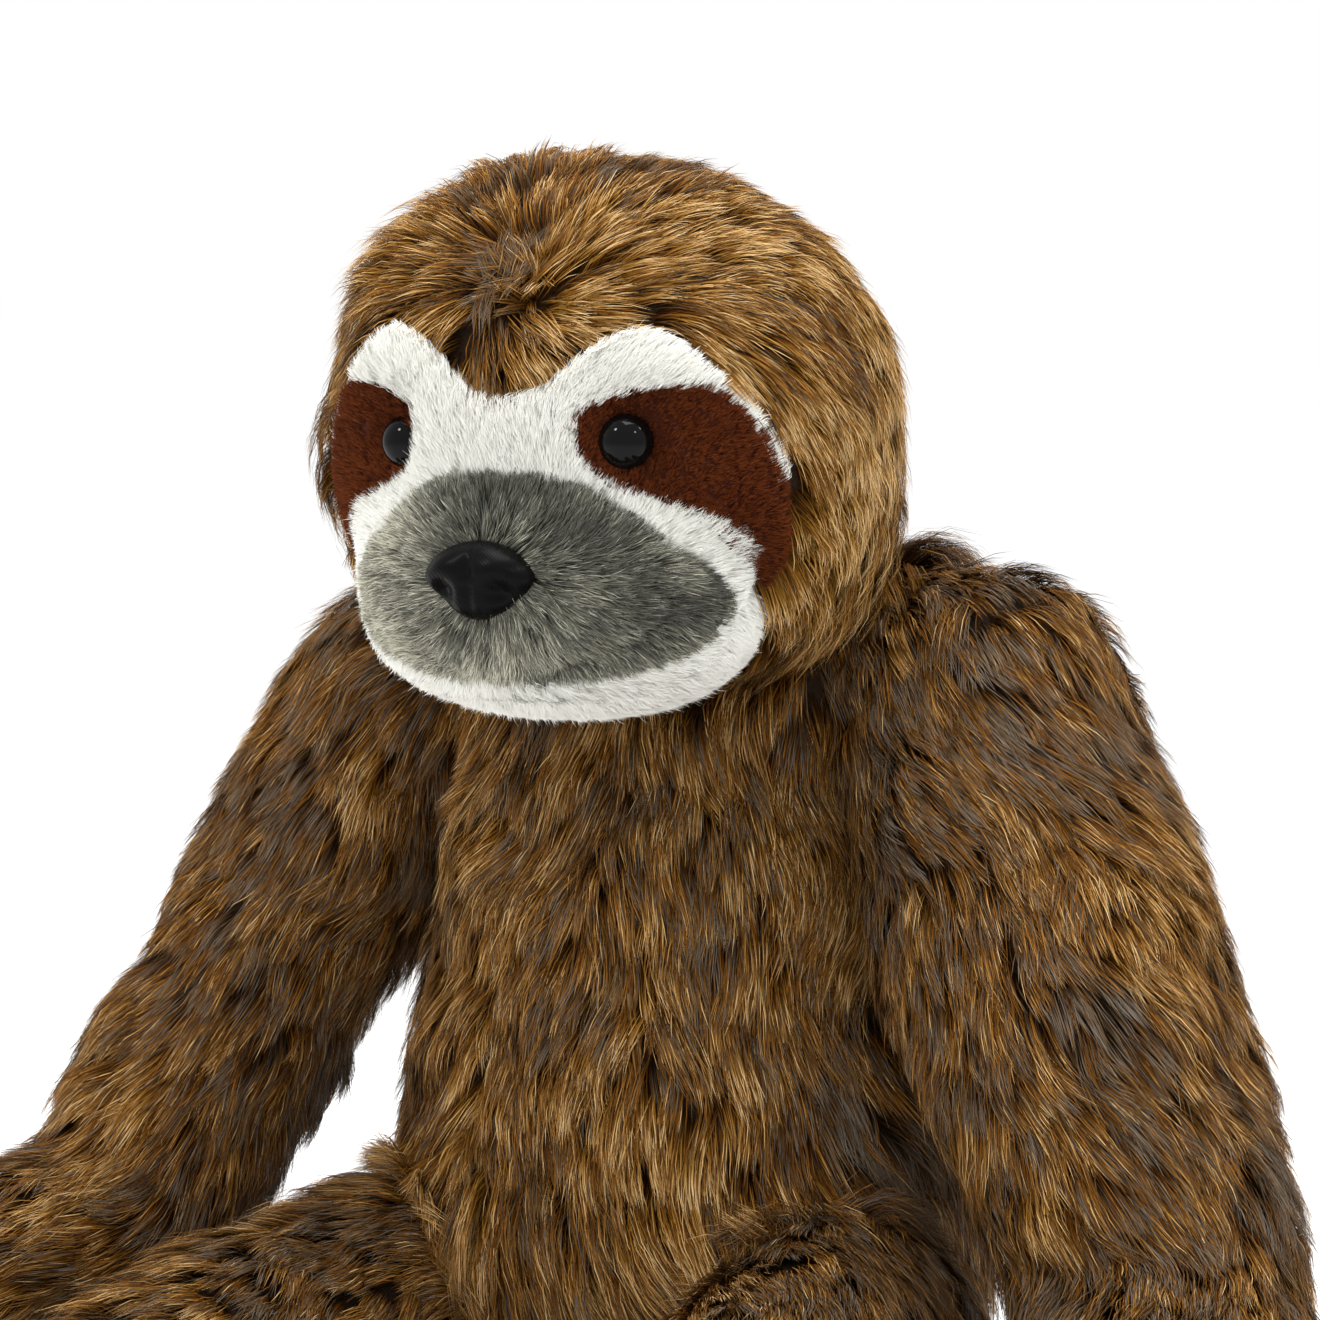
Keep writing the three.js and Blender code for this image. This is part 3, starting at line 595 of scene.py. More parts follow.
class Paint:
    """A material's node tree, with its Principled shader."""

    def __init__(self, name, **constants):
        self.material = bpy.data.materials.new(name)
        self.material.use_nodes = True
        self.tree = self.material.node_tree
        self.shader = self.tree.nodes["Principled BSDF"]
        for key, value in constants.items():
            self.shader.inputs[key.replace("_", " ")].default_value = value

    def node(self, kind, settings, inputs, output=0):
        """A new node's output, with its settings made first and then its sockets."""
        made = self.tree.nodes.new(kind)
        for key, value in settings.items():
            if key == "stops":
                self._stops(made, value)
            else:
                setattr(made, key, value)
        for key, value in inputs.items():
            socket = made.inputs[key]
            if isinstance(value, Wire):
                self.tree.links.new(value.socket, socket)
            else:
                socket.default_value = value
        return Wire(self, made.outputs[output])

    @staticmethod
    def _stops(made, stops):
        ramp = made.color_ramp
        while len(ramp.elements) < len(stops):
            ramp.elements.new(1.0)
        for element, (place, colour) in zip(ramp.elements, stops):
            element.position = place
            element.color = (*colour, 1.0)

    def feed(self, name, wire):
        """Links a value or colour to one of the shader's sockets."""
        self.tree.links.new(wire.socket, self.shader.inputs[name])

    def noise(self, scale, detail=2.0, roughness=0.5, vector=None):
        """Noise over the object's own coordinates."""
        where = vector or self.node("ShaderNodeTexCoord", {}, {}, "Object")
        inputs = {"Vector": where, "Scale": scale, "Detail": detail, "Roughness": roughness}
        return self.node("ShaderNodeTexNoise", {}, inputs)

    def ramp(self, wire, stops):
        """A colour read off stops."""
        return self.node("ShaderNodeValToRGB", {"stops": stops}, {"Fac": wire})

    def mix(self, share, a, b):
        """One colour laid over another by a share."""
        settings = {"data_type": "RGBA"}
        return self.node("ShaderNodeMix", settings, {"Factor": share, 6: a, 7: b}, 2)

    def bump(self, height, strength, distance):
        """Links a height to the shader's normal."""
        inputs = {"Height": height, "Strength": strength, "Distance": distance}
        self.feed("Normal", self.node("ShaderNodeBump", {}, inputs))


def wear(piece, material):
    """Gives a piece its material."""
    piece.data.materials.clear()
    piece.data.materials.append(material)


def dress(piece, material, body=None, nodes=()):
    """Gives a piece its material, hides its CAD nodes and ties it to its body."""
    wear(piece, material)
    if nodes:
        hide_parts(*nodes)
    if body:
        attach(piece, body)


def strand_paint(name, roots, middles, tips, rough=0.5, shine=0.03, streak=0.5):
    """Pile, with its tone across a strand's map and its length up it. The stops run over the tones."""
    paint = Paint(name, Roughness=rough, Specular_IOR_Level=shine)
    spot = paint.node("ShaderNodeUVMap", {"uv_map": STRAND_MAP}, {})
    tone = paint.node("ShaderNodeSeparateXYZ", {}, {"Vector": spot}, "X")
    height = paint.node("ShaderNodeSeparateXYZ", {}, {"Vector": spot}, "Y")
    low = ((height - 0.05) / 0.4).clamped()
    high = ((height - 0.45) / 0.5).clamped()
    root, middle, tip = (paint.ramp(tone, stops) for stops in (roots, middles, tips))
    colour = paint.mix(high, paint.mix(low, root, middle), tip)
    fibre = paint.node("ShaderNodeCombineXYZ", {}, {"X": tone * FIBRES, "Y": height * 1.5})
    fine = paint.noise(1.0, 2.0, 0.6, vector=fibre)
    bright = 1.0 + (fine - 0.5) * (streak * 4)
    paint.feed("Base Color", paint.node("ShaderNodeHueSaturation", {}, {"Color": colour, "Value": bright}))
    return paint.material


def cloth_paint(name, dark, light, scale, rough=0.95, depth=0.6):
    """A knitted or felted surface of two tones with a fine nap."""
    paint = Paint(name, Roughness=rough, Specular_IOR_Level=0.2)
    broad = paint.noise(scale * 0.12, 3.0)
    fine = paint.noise(scale, 3.0, 0.7)
    share = (broad * 0.6 + fine * 0.7 - 0.15).clamped()
    paint.feed("Base Color", paint.mix(share, (*dark, 1), (*light, 1)))
    paint.bump(fine, 0.5, depth * MM)
    return paint.material


# Pile

TONE_ENDS = (0.02, 0.98)


@dataclass
class Pile:
    """How one region's pile grows. Lengths are in millimetres."""

    length: float
    height: float
    spacing: float
    per_lock: int
    width: float
    pinch: float = 0.1
    spread: float = 0.9
    stray: float = 0.06
    lift: float = 0.0
    wave: float = 1.0
    segments: int = 3
    twist: float = 0.3
    mixing: float = 0.25


@dataclass
class Coat:
    """What pile is made of, and the body it rides on. Pile without a body is tied to none."""

    material: bpy.types.Material
    slot: str
    body: str = None


def scatter(piece, spacing, seed, keep=None):
    """Random places and normals on a piece, about one for each square of the spacing."""
    mesh = piece.data
    mesh.calc_loop_triangles()
    corners = np.empty(len(mesh.loop_triangles) * 3, np.int32)
    mesh.loop_triangles.foreach_get("vertices", corners)
    corners = corners.reshape(-1, 3)
    points, normals = read_points(piece)
    a, b, c = (points[corners[:, i]] for i in range(3))
    area = np.linalg.norm(np.cross(b - a, c - a), axis=1) / 2
    random = np.random.default_rng(seed)
    count = int(area.sum() / (spacing * MM) ** 2)
    chosen = np.sort(random.choice(len(area), count, p=area / area.sum()))
    u, v = random.uniform(0, 1, (2, count))
    u, v = np.where(u + v > 1, 1 - u, u), np.where(u + v > 1, 1 - v, v)
    share = np.stack([1 - u - v, u, v], axis=1)[:, :, None]
    places = (points[corners[chosen]] * share).sum(axis=1)
    facing = unit((normals[corners[chosen]] * share).sum(axis=1))
    if keep is not None:
        kept = keep(places, facing)
        places, facing = places[kept], facing[kept]
    return places, facing


def nearest_on(tree, points):
    """The nearest places on a surface, with their normals."""
    found = [tree.find_nearest(Vector(p)) for p in points]
    places = np.array([f[0] for f in found])
    normals = np.array([f[1] for f in found])
    return places, normals


# How far single locks depart from their pile's length, height, direction and lift
LOCK_LENGTHS = (0.82, 1.15)
LOCK_HEIGHTS = (0.75, 1.25)
LOCK_TURN = 0.13
LOCK_LIFT = 0.08

# A lock's steps, how much of its direction and of the surface's turn each step takes over,
# where along it the lock stands highest, and how much longer fuller fur is
GUIDE_STEPS = 6
KEPT_WAY = 0.5
TAKEN_TURN = 0.7
HIGH_SHARE = 0.62
FULLER_LENGTH = 0.4


def comb(tree, places, normals, flow, pile, random, swell):
    """Walks each lock's guide over a surface, and returns the guides' points, normals and lengths."""
    count = len(places)
    fuller = 1.0 if swell is None else swell(places)
    length = pile.length * MM * random.uniform(*LOCK_LENGTHS, count) * (1 + (fuller - 1) * FULLER_LENGTH)
    height = pile.height * MM * random.uniform(*LOCK_HEIGHTS, count) * fuller
    bias = random.normal(0, LOCK_TURN, count)
    lift = pile.lift + random.normal(0, LOCK_LIFT, count)
    foot, facing = places.copy(), normals.copy()
    points, sides = [places], [normals]
    previous = None
    for step in range(1, GUIDE_STEPS + 1):
        way = turned(flow(foot, facing), facing, bias)
        way = way if previous is None else along_surface(previous * KEPT_WAY + way, facing)
        previous = way
        foot, fresh = nearest_on(tree, foot + way * (length / GUIDE_STEPS)[:, None])
        facing = unit(facing + fresh * TAKEN_TURN)
        t = step / GUIDE_STEPS
        rise = height * (1 - (1 - min(t / HIGH_SHARE, 1)) ** 2) + length * lift * t * t
        points.append(foot + facing * rise[:, None])
        sides.append(facing)
    return np.stack(points, axis=1), np.stack(sides, axis=1), length


# How far single strands depart from their lock's length, pinch and width
STRAND_LENGTHS = (0.72, 1.04)
STRAND_PINCHES = (0.4, 1.3)
STRAND_WIDTHS = (0.7, 1.25)
STRAND_TAPER = 0.35
STEP_POWER = 0.9
SWAY_UP = 0.5

# Stray strands open out instead of closing in, and rise up to this far, in millimetres
STRAY_PINCH = -0.6
STRAY_RISE = 3.5

# Fur that would hang through the floor is pressed flat this far over it, in metres
PRESSED_FLAT = 0.0002


def strands(guides, sides, tones, reach, pile, random):
    """Strands about their locks' guides: centre lines, normals and tones."""
    owner = np.repeat(np.arange(len(guides)), pile.per_lock)
    total = len(owner)
    facing = sides[owner, 0]
    first = along_surface(guides[owner, -1] - guides[owner, 0], facing)
    second = np.cross(facing, first)
    radius = pile.spacing * MM * pile.spread * np.sqrt(random.uniform(0, 1, total))
    angle = random.uniform(0, 2 * np.pi, total)
    offset = (first * np.cos(angle)[:, None] + second * np.sin(angle)[:, None]) * radius[:, None]
    stray = random.uniform(0, 1, total) < pile.stray
    pinch = np.where(stray, STRAY_PINCH, pile.pinch * random.uniform(*STRAND_PINCHES, total))
    own = random.uniform(*STRAND_LENGTHS, total) * reach[owner]
    t = (np.linspace(0, 1, pile.segments + 1) ** STEP_POWER)[None, :] * own[:, None]
    spot = np.clip(t * GUIDE_STEPS, 0, GUIDE_STEPS - 1e-6)
    low = spot.astype(int)
    part = (spot - low)[..., None]
    line = guides[owner[:, None], low] * (1 - part) + guides[owner[:, None], low + 1] * part
    facing = sides[owner[:, None], low]
    line = line + offset[:, None, :] * (1 - pinch[:, None] * t)[..., None]
    sway = random.normal(0, pile.wave * MM, (total, 2))
    bend = second * sway[:, :1] + facing[:, 0] * sway[:, 1:] * SWAY_UP
    line = line + bend[:, None, :] * (t**2)[..., None]
    rise = stray * random.uniform(0, STRAY_RISE * MM, total)
    line = line + (facing[:, 0] * rise[:, None])[:, None, :] * t[..., None]
    line[..., 2] = np.maximum(line[..., 2], PRESSED_FLAT)
    tone = np.clip(tones[owner] + random.normal(0, pile.mixing, total), *TONE_ENDS)
    return line, facing, tone


def ribbon_corners(line, facing, pile, random):
    """Each strand's corners, left and right along it and then its tip."""
    total, points = line.shape[:2]
    way = unit(np.gradient(line, axis=1))
    flat = along_surface(facing, way)
    twist = random.normal(0, pile.twist, total)
    across = turned(np.cross(way, flat), way, np.repeat(twist[:, None], points, axis=1))
    taper = 1 - STRAND_TAPER * np.linspace(0, 1, points) ** 2
    width = pile.width * MM / 2 * random.uniform(*STRAND_WIDTHS, total)[:, None] * taper
    corners = np.empty((total, 2 * points - 1, 3))
    corners[:, 0:-1:2] = (line - across * width[..., None])[:, :-1]
    corners[:, 1:-1:2] = (line + across * width[..., None])[:, :-1]
    corners[:, -1] = line[:, -1]
    return corners


def ribbon_mesh(name, corners):
    """A mesh of one ribbon through each strand's corners, and its corners in the order of its loops."""
    total, per = corners.shape[:2]
    quads = np.array([[2 * k, 2 * k + 1, 2 * k + 3, 2 * k + 2] for k in range(per // 2 - 1)]).reshape(-1)
    tip = np.array([per - 3, per - 2, per - 1])
    base = (np.arange(total) * per)[:, None]
    loops = (base + np.concatenate([quads, tip])[None, :]).reshape(-1)
    sizes = np.tile(np.array([4] * (per // 2 - 1) + [3]), total)
    starts = np.concatenate([[0], np.cumsum(sizes)[:-1]])
    mesh = bpy.data.meshes.new(name)
    mesh.vertices.add(total * per)
    mesh.vertices.foreach_set("co", corners.astype(np.float32).reshape(-1))
    mesh.loops.add(len(loops))
    mesh.loops.foreach_set("vertex_index", loops.astype(np.int32))
    mesh.polygons.add(len(sizes))
    mesh.polygons.foreach_set("loop_start", starts.astype(np.int32))
    mesh.polygons.foreach_set("use_smooth", np.ones(len(sizes), bool))
    mesh.update(calc_edges=True)
    return mesh, loops


def map_strands(mesh, loops, tone, points):
    """Maps each strand's tone across its ribbon, and its length up it."""
    total = len(tone)
    spots = np.empty((total, 2 * points - 1, 2))
    spots[:, 0:-1:2, 0] = (tone - STRAND_TONES)[:, None]
    spots[:, 1:-1:2, 0] = (tone + STRAND_TONES)[:, None]
    spots[:, 0:-1:2, 1] = np.linspace(0, 1, points)[:-1]
    spots[:, 1:-1:2, 1] = np.linspace(0, 1, points)[:-1]
    spots[:, -1, 0] = tone
    spots[:, -1, 1] = 1
    layer = mesh.uv_layers.new(name=STRAND_MAP)
    layer.uv.foreach_set("vector", spots.reshape(-1, 2)[loops].astype(np.float32).reshape(-1))


def ribbons(name, line, facing, tone, pile, random, coat):
    """One piece of flat tapering strands."""
    mesh, loops = ribbon_mesh(name, ribbon_corners(line, facing, pile, random))
    map_strands(mesh, loops, tone, line.shape[1])
    piece = placed(name, mesh)
    dress(piece, coat.material, coat.body)
    return piece


# The most strands in one mesh, and the cells of the surface that fur lies over, in millimetres
MOST_STRANDS = 39000
DRAPE_CELL = 5


def draped(names):
    """One closed surface round several skins, without the parts that lie inside another."""
    points, faces = [], []
    for name in names:
        mesh = bpy.data.objects[name].data
        faces += [[len(points) + v for v in face.vertices] for face in mesh.polygons]
        points += [v.co[:] for v in mesh.vertices]
    piece = new_piece("drape", points, faces)
    change = piece.modifiers.new("close", "REMESH")
    change.mode = "VOXEL"
    change.voxel_size = DRAPE_CELL * MM
    tree = BVHTree.FromObject(piece, bpy.context.evaluated_depsgraph_get())
    bpy.data.meshes.remove(piece.data)
    return tree


def grow(name, piece, pile, flow, tone, coat, seed, keep=None, trim=None, swell=None, over=None):
    """Grows pile on a piece, or over a wider surface, in as many meshes as it takes, and returns them.

    Each piece of pile has a seed of its own, so that no two look alike.
    """
    random = np.random.default_rng(seed)
    places, normals = scatter(piece, pile.spacing, seed + 1, keep)
    tree = over or BVHTree.FromObject(piece, bpy.context.evaluated_depsgraph_get())
    guides, sides, length = comb(tree, places, normals, flow, pile, random, swell)
    tones = tone(places, random)
    reach = np.ones(len(guides)) if trim is None else trim(guides, length)
    line, facing, tone_of = strands(guides, sides, tones, reach, pile, random)
    order = np.argsort(np.repeat(places[:, 2], pile.per_lock), kind="stable")
    parts = np.array_split(order, math.ceil(len(order) / MOST_STRANDS))
    names = [name] if len(parts) == 1 else [f"{name}_{i + 1}" for i in range(len(parts))]
    return [
        ribbons(label, line[part], facing[part], tone_of[part], pile, random, coat)
        for label, part in zip(names, parts)
    ]


DOWN = np.array([0.0, 0.0, -1.0])

# Fur swirls in patches of two sizes in millimetres, each with its share of the turn
BROAD_SWIRL = 62
BROAD_SHARE = 0.62
SMALL_SWIRL = 24
SMALL_SHARE = 0.42
SWIRL = 0.5
TORSO_SWIRL = 0.55
TORSO_FAN = 0.3
ELBOW_SOFTNESS = 20
ROOT_OUTWARDS = 0.8

# Where the head's fur turns from spreading off the whorl to falling, and how it turns at the whorl
FALL_REACH = (50, 160)
FALL_SHARE = 0.9
SPREAD_LOST = 0.5
WHORL_TURN = 1.2
WHORL_REACH = 22


def swirled(ways, points, normals, amount, seed):
    """Directions turned this way and that in broad and small patches, as brushed fur lies."""
    broad = patches_of(points, BROAD_SWIRL * MM, seed)
    small = patches_of(points, SMALL_SWIRL * MM, seed + 1)
    return turned(ways, normals, amount * (broad * BROAD_SHARE + small * SMALL_SHARE))


def torso_flow(points, normals):
    """Torso fur falls, and fans out from the middle of the chest."""
    out = points * (1, 0, 0) / (TORSO_HALF_WIDTH * MM)
    ways = along_surface(DOWN + out * TORSO_FAN, normals)
    return swirled(ways, points, normals, TORSO_SWIRL, 11)


def limb_flow(corners, seed, fall, root_reach):
    """Limb fur runs down the limb and falls a little, and starts outwards at the limb's root."""
    bones = [(np.array(a) * MM, np.array(b) * MM) for a, b in zip(corners, corners[1:])]

    def flow(points, normals):
        ways = []
        gaps = []
        for start, end in bones:
            line = end - start
            share = np.clip((points - start) @ line / (line @ line), 0, 1)
            gaps.append(np.linalg.norm(points - start - share[:, None] * line, axis=1))
            ways.append(unit(line))
        soft = ELBOW_SOFTNESS * MM
        weight = smooth_step(gaps[-1] - gaps[0], -soft, soft)[:, None] if len(bones) > 1 else 1.0
        bone = ways[0] * weight + ways[-1] * (1 - weight)
        root = bell(np.linalg.norm(points - bones[0][0], axis=1), root_reach * MM)[:, None]
        outwards = np.array([np.sign(bones[0][0][0]), 0, 0]) * root * ROOT_OUTWARDS
        return swirled(along_surface(bone + DOWN * fall + outwards, normals), points, normals, SWIRL, seed)

    return flow


def head_flow(points, normals):
    """Head fur spreads from the whorl on the forehead, and falls down the sides and back."""
    away = points - head_place(WHORL)
    distance = np.linalg.norm(away, axis=1)
    fall = smooth_step(distance, *(reach * MM for reach in FALL_REACH))[:, None]
    ways = along_surface(unit(away) * (1 - SPREAD_LOST * fall) + DOWN * fall * FALL_SHARE, normals)
    ways = turned(ways, normals, WHORL_TURN * bell(distance, WHORL_REACH * MM))
    return swirled(ways, points, normals, SWIRL, 31)


def spread_from(place, seed):
    """Short pile lies away from a place on the face."""
    middle = head_place(place)

    def flow(points, normals):
        return swirled(along_surface(points - middle, normals), points, normals, SWIRL, seed)

    return flow


def every_way(points, normals):
    """The whorl's short hairs lie every way."""
    random = np.random.default_rng(len(points))
    return along_surface(random.normal(0, 1, points.shape), normals)


# Fur tones vary in broad blotches, in specks and from lock to lock, all drawn out along the fall of the fur
STREAKED = (1, 1, 0.4)
BLOTCH_SIZE = 40
SPECK_SIZE = 11
SPECKS = 0.17
LOCK_TONES = 0.12


def fur_tone(middle, shades=(), seed=61, blotches=0.14):
    """Tones of brown fur in patches: under 0.3 grey, from 0.3 to 0.75 brown and above that gold.

    Each shade is a place and a radius in millimetres, and by how much the tone falls there. Some shades stand
    for painted shade, and one that raises the tone stands for painted light.
    """

    def tone(points, random):
        broad = patches_of(points * STREAKED, BLOTCH_SIZE * MM, seed)
        small = patches_of(points * STREAKED, SPECK_SIZE * MM, seed + 1)
        value = middle + blotches * broad + SPECKS * small + random.normal(0, LOCK_TONES, len(points))
        for place, radius, fall in shades:
            gap = np.linalg.norm(points - np.array(place) * MM, axis=1)
            value = value - fall * bell(gap, radius * MM)
        return np.clip(value, *TONE_ENDS)

    return tone


def plain_tone(middle, spread=0.2):
    """Tones about one value."""

    def tone(points, random):
        return np.clip(middle + random.normal(0, spread, len(points)), *TONE_ENDS)

    return tone


# Colours of the pile, as stops over a strand's tone

FUR_ROOTS = [(0.0, (0.024, 0.014, 0.006)), (0.5, (0.028, 0.008, 0.001)), (1.0, (0.050, 0.018, 0.002))]
FUR_MIDDLES = [
    (0.0, (0.064, 0.047, 0.032)),
    (0.2, (0.052, 0.028, 0.010)),
    (0.38, (0.054, 0.016, 0.001)),
    (0.55, (0.120, 0.042, 0.004)),
    (0.75, (0.205, 0.086, 0.009)),
    (1.0, (0.340, 0.170, 0.030)),
]
FUR_TIPS = [
    (0.0, (0.210, 0.175, 0.140)),
    (0.2, (0.165, 0.110, 0.060)),
    (0.38, (0.130, 0.050, 0.007)),
    (0.55, (0.280, 0.116, 0.020)),
    (0.75, (0.460, 0.245, 0.070)),
    (1.0, (0.870, 0.640, 0.340)),
]
WHITE_ROOTS = [(0.0, (0.84, 0.83, 0.76)), (1.0, (0.88, 0.87, 0.82))]
WHITE_TIPS = [(0.0, (0.87, 0.865, 0.80)), (1.0, (0.92, 0.915, 0.87))]
MAROON_ROOTS = [(0.0, (0.030, 0.006, 0.002)), (1.0, (0.050, 0.011, 0.004))]
MAROON_TIPS = [(0.0, (0.062, 0.012, 0.003)), (1.0, (0.162, 0.040, 0.010))]
GREY_ROOTS = [(0.0, (0.010, 0.010, 0.007)), (1.0, (0.090, 0.086, 0.062))]
GREY_MIDDLES = [(0.0, (0.020, 0.020, 0.015)), (0.5, (0.095, 0.091, 0.066)), (1.0, (0.380, 0.365, 0.270))]
GREY_TIPS = [(0.0, (0.060, 0.060, 0.050)), (0.5, (0.250, 0.243, 0.190)), (1.0, (0.800, 0.775, 0.630))]


def length_of(name, description, default):
    """A setting that is a length in metres."""
    return FloatProperty(name=name, description=description, default=default, unit="LENGTH")


def angle_of(name, description, degrees):
    """A setting that is an angle."""
    return FloatProperty(name=name, description=description, default=math.radians(degrees), subtype="ANGLE")


def colour_of(name, description, default):
    """A setting that is a colour."""
    return FloatVectorProperty(name=name, description=description, default=default, subtype="COLOR")


class SlothFur(bpy.types.PropertyGroup):
    """Sizes of the long brown fur."""

    length: length_of("Length", "Length of a strand", 0.029)
    head_length: length_of("Head length", "Length of a strand on the head", 0.025)
    height: length_of("Height", "Height of the lying pile", 0.0095)
    width: length_of("Width", "Width of a strand", 0.00038)
    spacing: length_of("Spacing", "Distance between locks", 0.006)
    per_lock: IntProperty(name="Strands", description="Strands in each lock", default=30)
    inset: length_of("Inset", "Depth of the knitted skin under the fur's surface", 0.009)


class SlothFace(bpy.types.PropertyGroup):
    """Sizes of the face's short piles, and the colours of its hard pieces."""

    white_length: length_of("White pile", "Length of the white plush", 0.0066)
    patch_length: length_of("Patch pile", "Length of the eye patches' velour", 0.0028)
    muzzle_length: length_of("Muzzle pile", "Length of the grey pile", 0.0115)
    eye_colour: colour_of("Eye colour", "Colour of the ball eyes", (0.002, 0.002, 0.002))
    nose_colour: colour_of("Nose colour", "Colour of the nose pad", (0.002, 0.002, 0.002))


class SlothStage(bpy.types.PropertyGroup):
    """The camera and the lights."""

    azimuth: angle_of("Azimuth", "Camera's turn about the sloth", 28)
    elevation: angle_of("Elevation", "Camera's height as an angle", 5)
    distance: length_of("Distance", "Camera's distance", 2.0)
    lens: FloatProperty(name="Lens", description="Camera's focal length in millimetres", default=136.36)
    key_power: FloatProperty(name="Key light", description="Power of the front light", default=20.0)
    world_light: FloatProperty(name="Surroundings", description="Strength of the white light", default=1.0)


# The floor's half size and how far it lies under the sloth, in metres, its tone and its own light
FLOOR_HALF = 30
FLOOR_DROP = 0.0008
FLOOR_GREY = 0.9
FLOOR_GLOW = 0.1
SENSOR_WIDTH = 36

# Places in metres that the lights and the camera point at
LIT_PLACE = (0, -0.05, 0.35)
SEEN_PLACE = (0, -0.030, 0.332)

# Each light's place in metres, its size, and its power as a share of the key light's
LIGHTS = {
    "key": ((-0.9, -1.65, 2.2), 0.36, 1.0),
    "window": ((1.5, 0.45, 1.95), 0.32, 0.35),
    "side": ((1.7, -0.7, 1.75), 0.22, 0.25),
    "top": ((0.1, 0.1, 2.2), 1.2, 1.9),
}


class SLOTH_OT_stage(bpy.types.Operator):
    """Makes the floor, the lights and the camera"""

    bl_idname = "sloth.stage"
    bl_label = "Stage"

    def execute(self, context):
        settings = context.scene.sloth_stage
        self.floor()
        self.surroundings(context, settings.world_light)
        for name, (place, size, share) in LIGHTS.items():
            self.area(name, place, size, settings.key_power * share)
        self.camera(context, settings)
        return {"FINISHED"}

    @staticmethod
    def floor():
        """A pale paper floor."""
        size = FLOOR_HALF
        mesh = bpy.data.meshes.new("floor")
        corners = [(-size, -size, 0), (size, -size, 0), (size, size, 0), (-size, size, 0)]
        mesh.from_pydata(corners, [], [(0, 1, 2, 3)])
        floor = placed("floor", mesh)
        floor.location.z = -FLOOR_DROP
        paint = Paint("floor_paper", Roughness=0.8, Specular_IOR_Level=0.1)
        paint.shader.inputs["Base Color"].default_value = (FLOOR_GREY, FLOOR_GREY, FLOOR_GREY, 1)
        paint.shader.inputs["Emission Color"].default_value = (1, 1, 1, 1)
        paint.shader.inputs["Emission Strength"].default_value = FLOOR_GLOW
        wear(floor, paint.material)

    @staticmethod
    def surroundings(context, strength):
        """White surroundings."""
        world = bpy.data.worlds.new("studio")
        world.use_nodes = True
        background = world.node_tree.nodes["Background"]
        background.inputs["Color"].default_value = (1, 1, 1, 1)
        background.inputs["Strength"].default_value = strength
        context.scene.world = world
        context.scene.view_settings.view_transform = "Standard"

    @staticmethod
    def area(name, place, size, power):
        """A soft square light."""
        data = bpy.data.lights.new(name, "AREA")
        data.size = size
        data.energy = power
        light = placed(name, data)
        light.location = place
        light.rotation_euler = (Vector(LIT_PLACE) - Vector(place)).to_track_quat("-Z", "Y").to_euler()

    @staticmethod
    def camera(context, settings):
        """The camera at the photograph's angle."""
        turn, rise = settings.azimuth, settings.elevation
        level = math.cos(rise)
        back = Vector((math.sin(turn) * level, -math.cos(turn) * level, math.sin(rise)))
        data = bpy.data.cameras.new("camera")
        data.lens = settings.lens
        data.sensor_width = SENSOR_WIDTH
        camera = placed("camera", data)
        camera.location = Vector(SEEN_PLACE) + back * settings.distance
        camera.rotation_mode = "QUATERNION"
        camera.rotation_quaternion = (-back).to_track_quat("-Z", "Y")
        context.scene.camera = camera


# How deep the folds of each skin are, in millimetres
FOLDS = {"torso": 4.0, "head": 1.5, "arm": 2.6, "leg": 2.0}


class SLOTH_OT_skins(bpy.types.Operator):
    """Makes the knitted skins of the torso, head, arms and legs"""

    bl_idname = "sloth.skins"
    bl_label = "Skins"

    def execute(self, context):
        inset = context.scene.sloth_fur.inset / MM
        # The knitted skins are painted very dark brown, as painted shade for the gaps deep in the fur
        cloth = cloth_paint("knitted_backing_painted_shade", (0.010, 0.006, 0.004), (0.050, 0.026, 0.012), 900)
        torso = torso_skin(inset)
        crumpled(torso, FOLDS["torso"], 121)
        let_out(torso, ["torso_stuffing"])
        dress(torso, cloth, "torso", ["torso_skin"])
        head = head_skin(inset)
        crumpled(head, FOLDS["head"], 122)
        dress(head, cloth, "head", ["head_skin"])
        for word, side in SIDES.items():
            self.limbs(word, side, inset, cloth)
        return {"FINISHED"}

    @staticmethod
    def limbs(word, side, inset, cloth):
        """One side's arm and leg."""
        rows = list(zip(ARM_PLACES, ARM_SIZES[word]))
        arm = limb_skin(f"{word}_arm_cloth", arm_line(word, side), rows, HAND_TIP, inset)
        crumpled(arm, FOLDS["arm"], 123 + side)
        let_out(arm, [f"{word}_upper_arm_stuffing", f"{word}_forearm_stuffing"])
        dress(arm, cloth, None, [f"{word}_upper_arm_skin", f"{word}_forearm_skin"])
        bend_arm(arm)
        leg = limb_skin(f"{word}_leg_cloth", mirrored([HIP, FOOT], side), LEG_ROWS, FOOT_TIP, inset)
        crumpled(leg, FOLDS["leg"], 126 + side)
        let_out(leg, [f"{word}_leg_stuffing"])
        dress(leg, cloth, f"{word}_leg", [f"{word}_leg_skin"])


def arm_line(word, side):
    """The middle of an arm as it hangs, which bulges outwards at the elbow."""
    elbow = (ELBOW[0] + ELBOW_OUT[word], *ELBOW[1:])
    return mirrored([ARM_TOPS[word], elbow, HAND], side)


def bend_arm(piece):
    """Bakes a piece of the arm's placing into its points."""
    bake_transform(piece)


def outside_of(names, depth):
    """A test that drops roots that lie deeper than this inside other skins."""
    graph = bpy.context.evaluated_depsgraph_get()
    trees = [BVHTree.FromObject(bpy.data.objects[name], graph) for name in names]

    def keep(places, facing):
        kept = np.ones(len(places), bool)
        for tree in trees:
            near, normal = nearest_on(tree, places)
            kept &= np.sum((places - near) * normal, axis=1) > -depth * MM
        return kept

    return keep


# No lock is cut shorter than this share of its length
LEAST_KEPT = 0.3


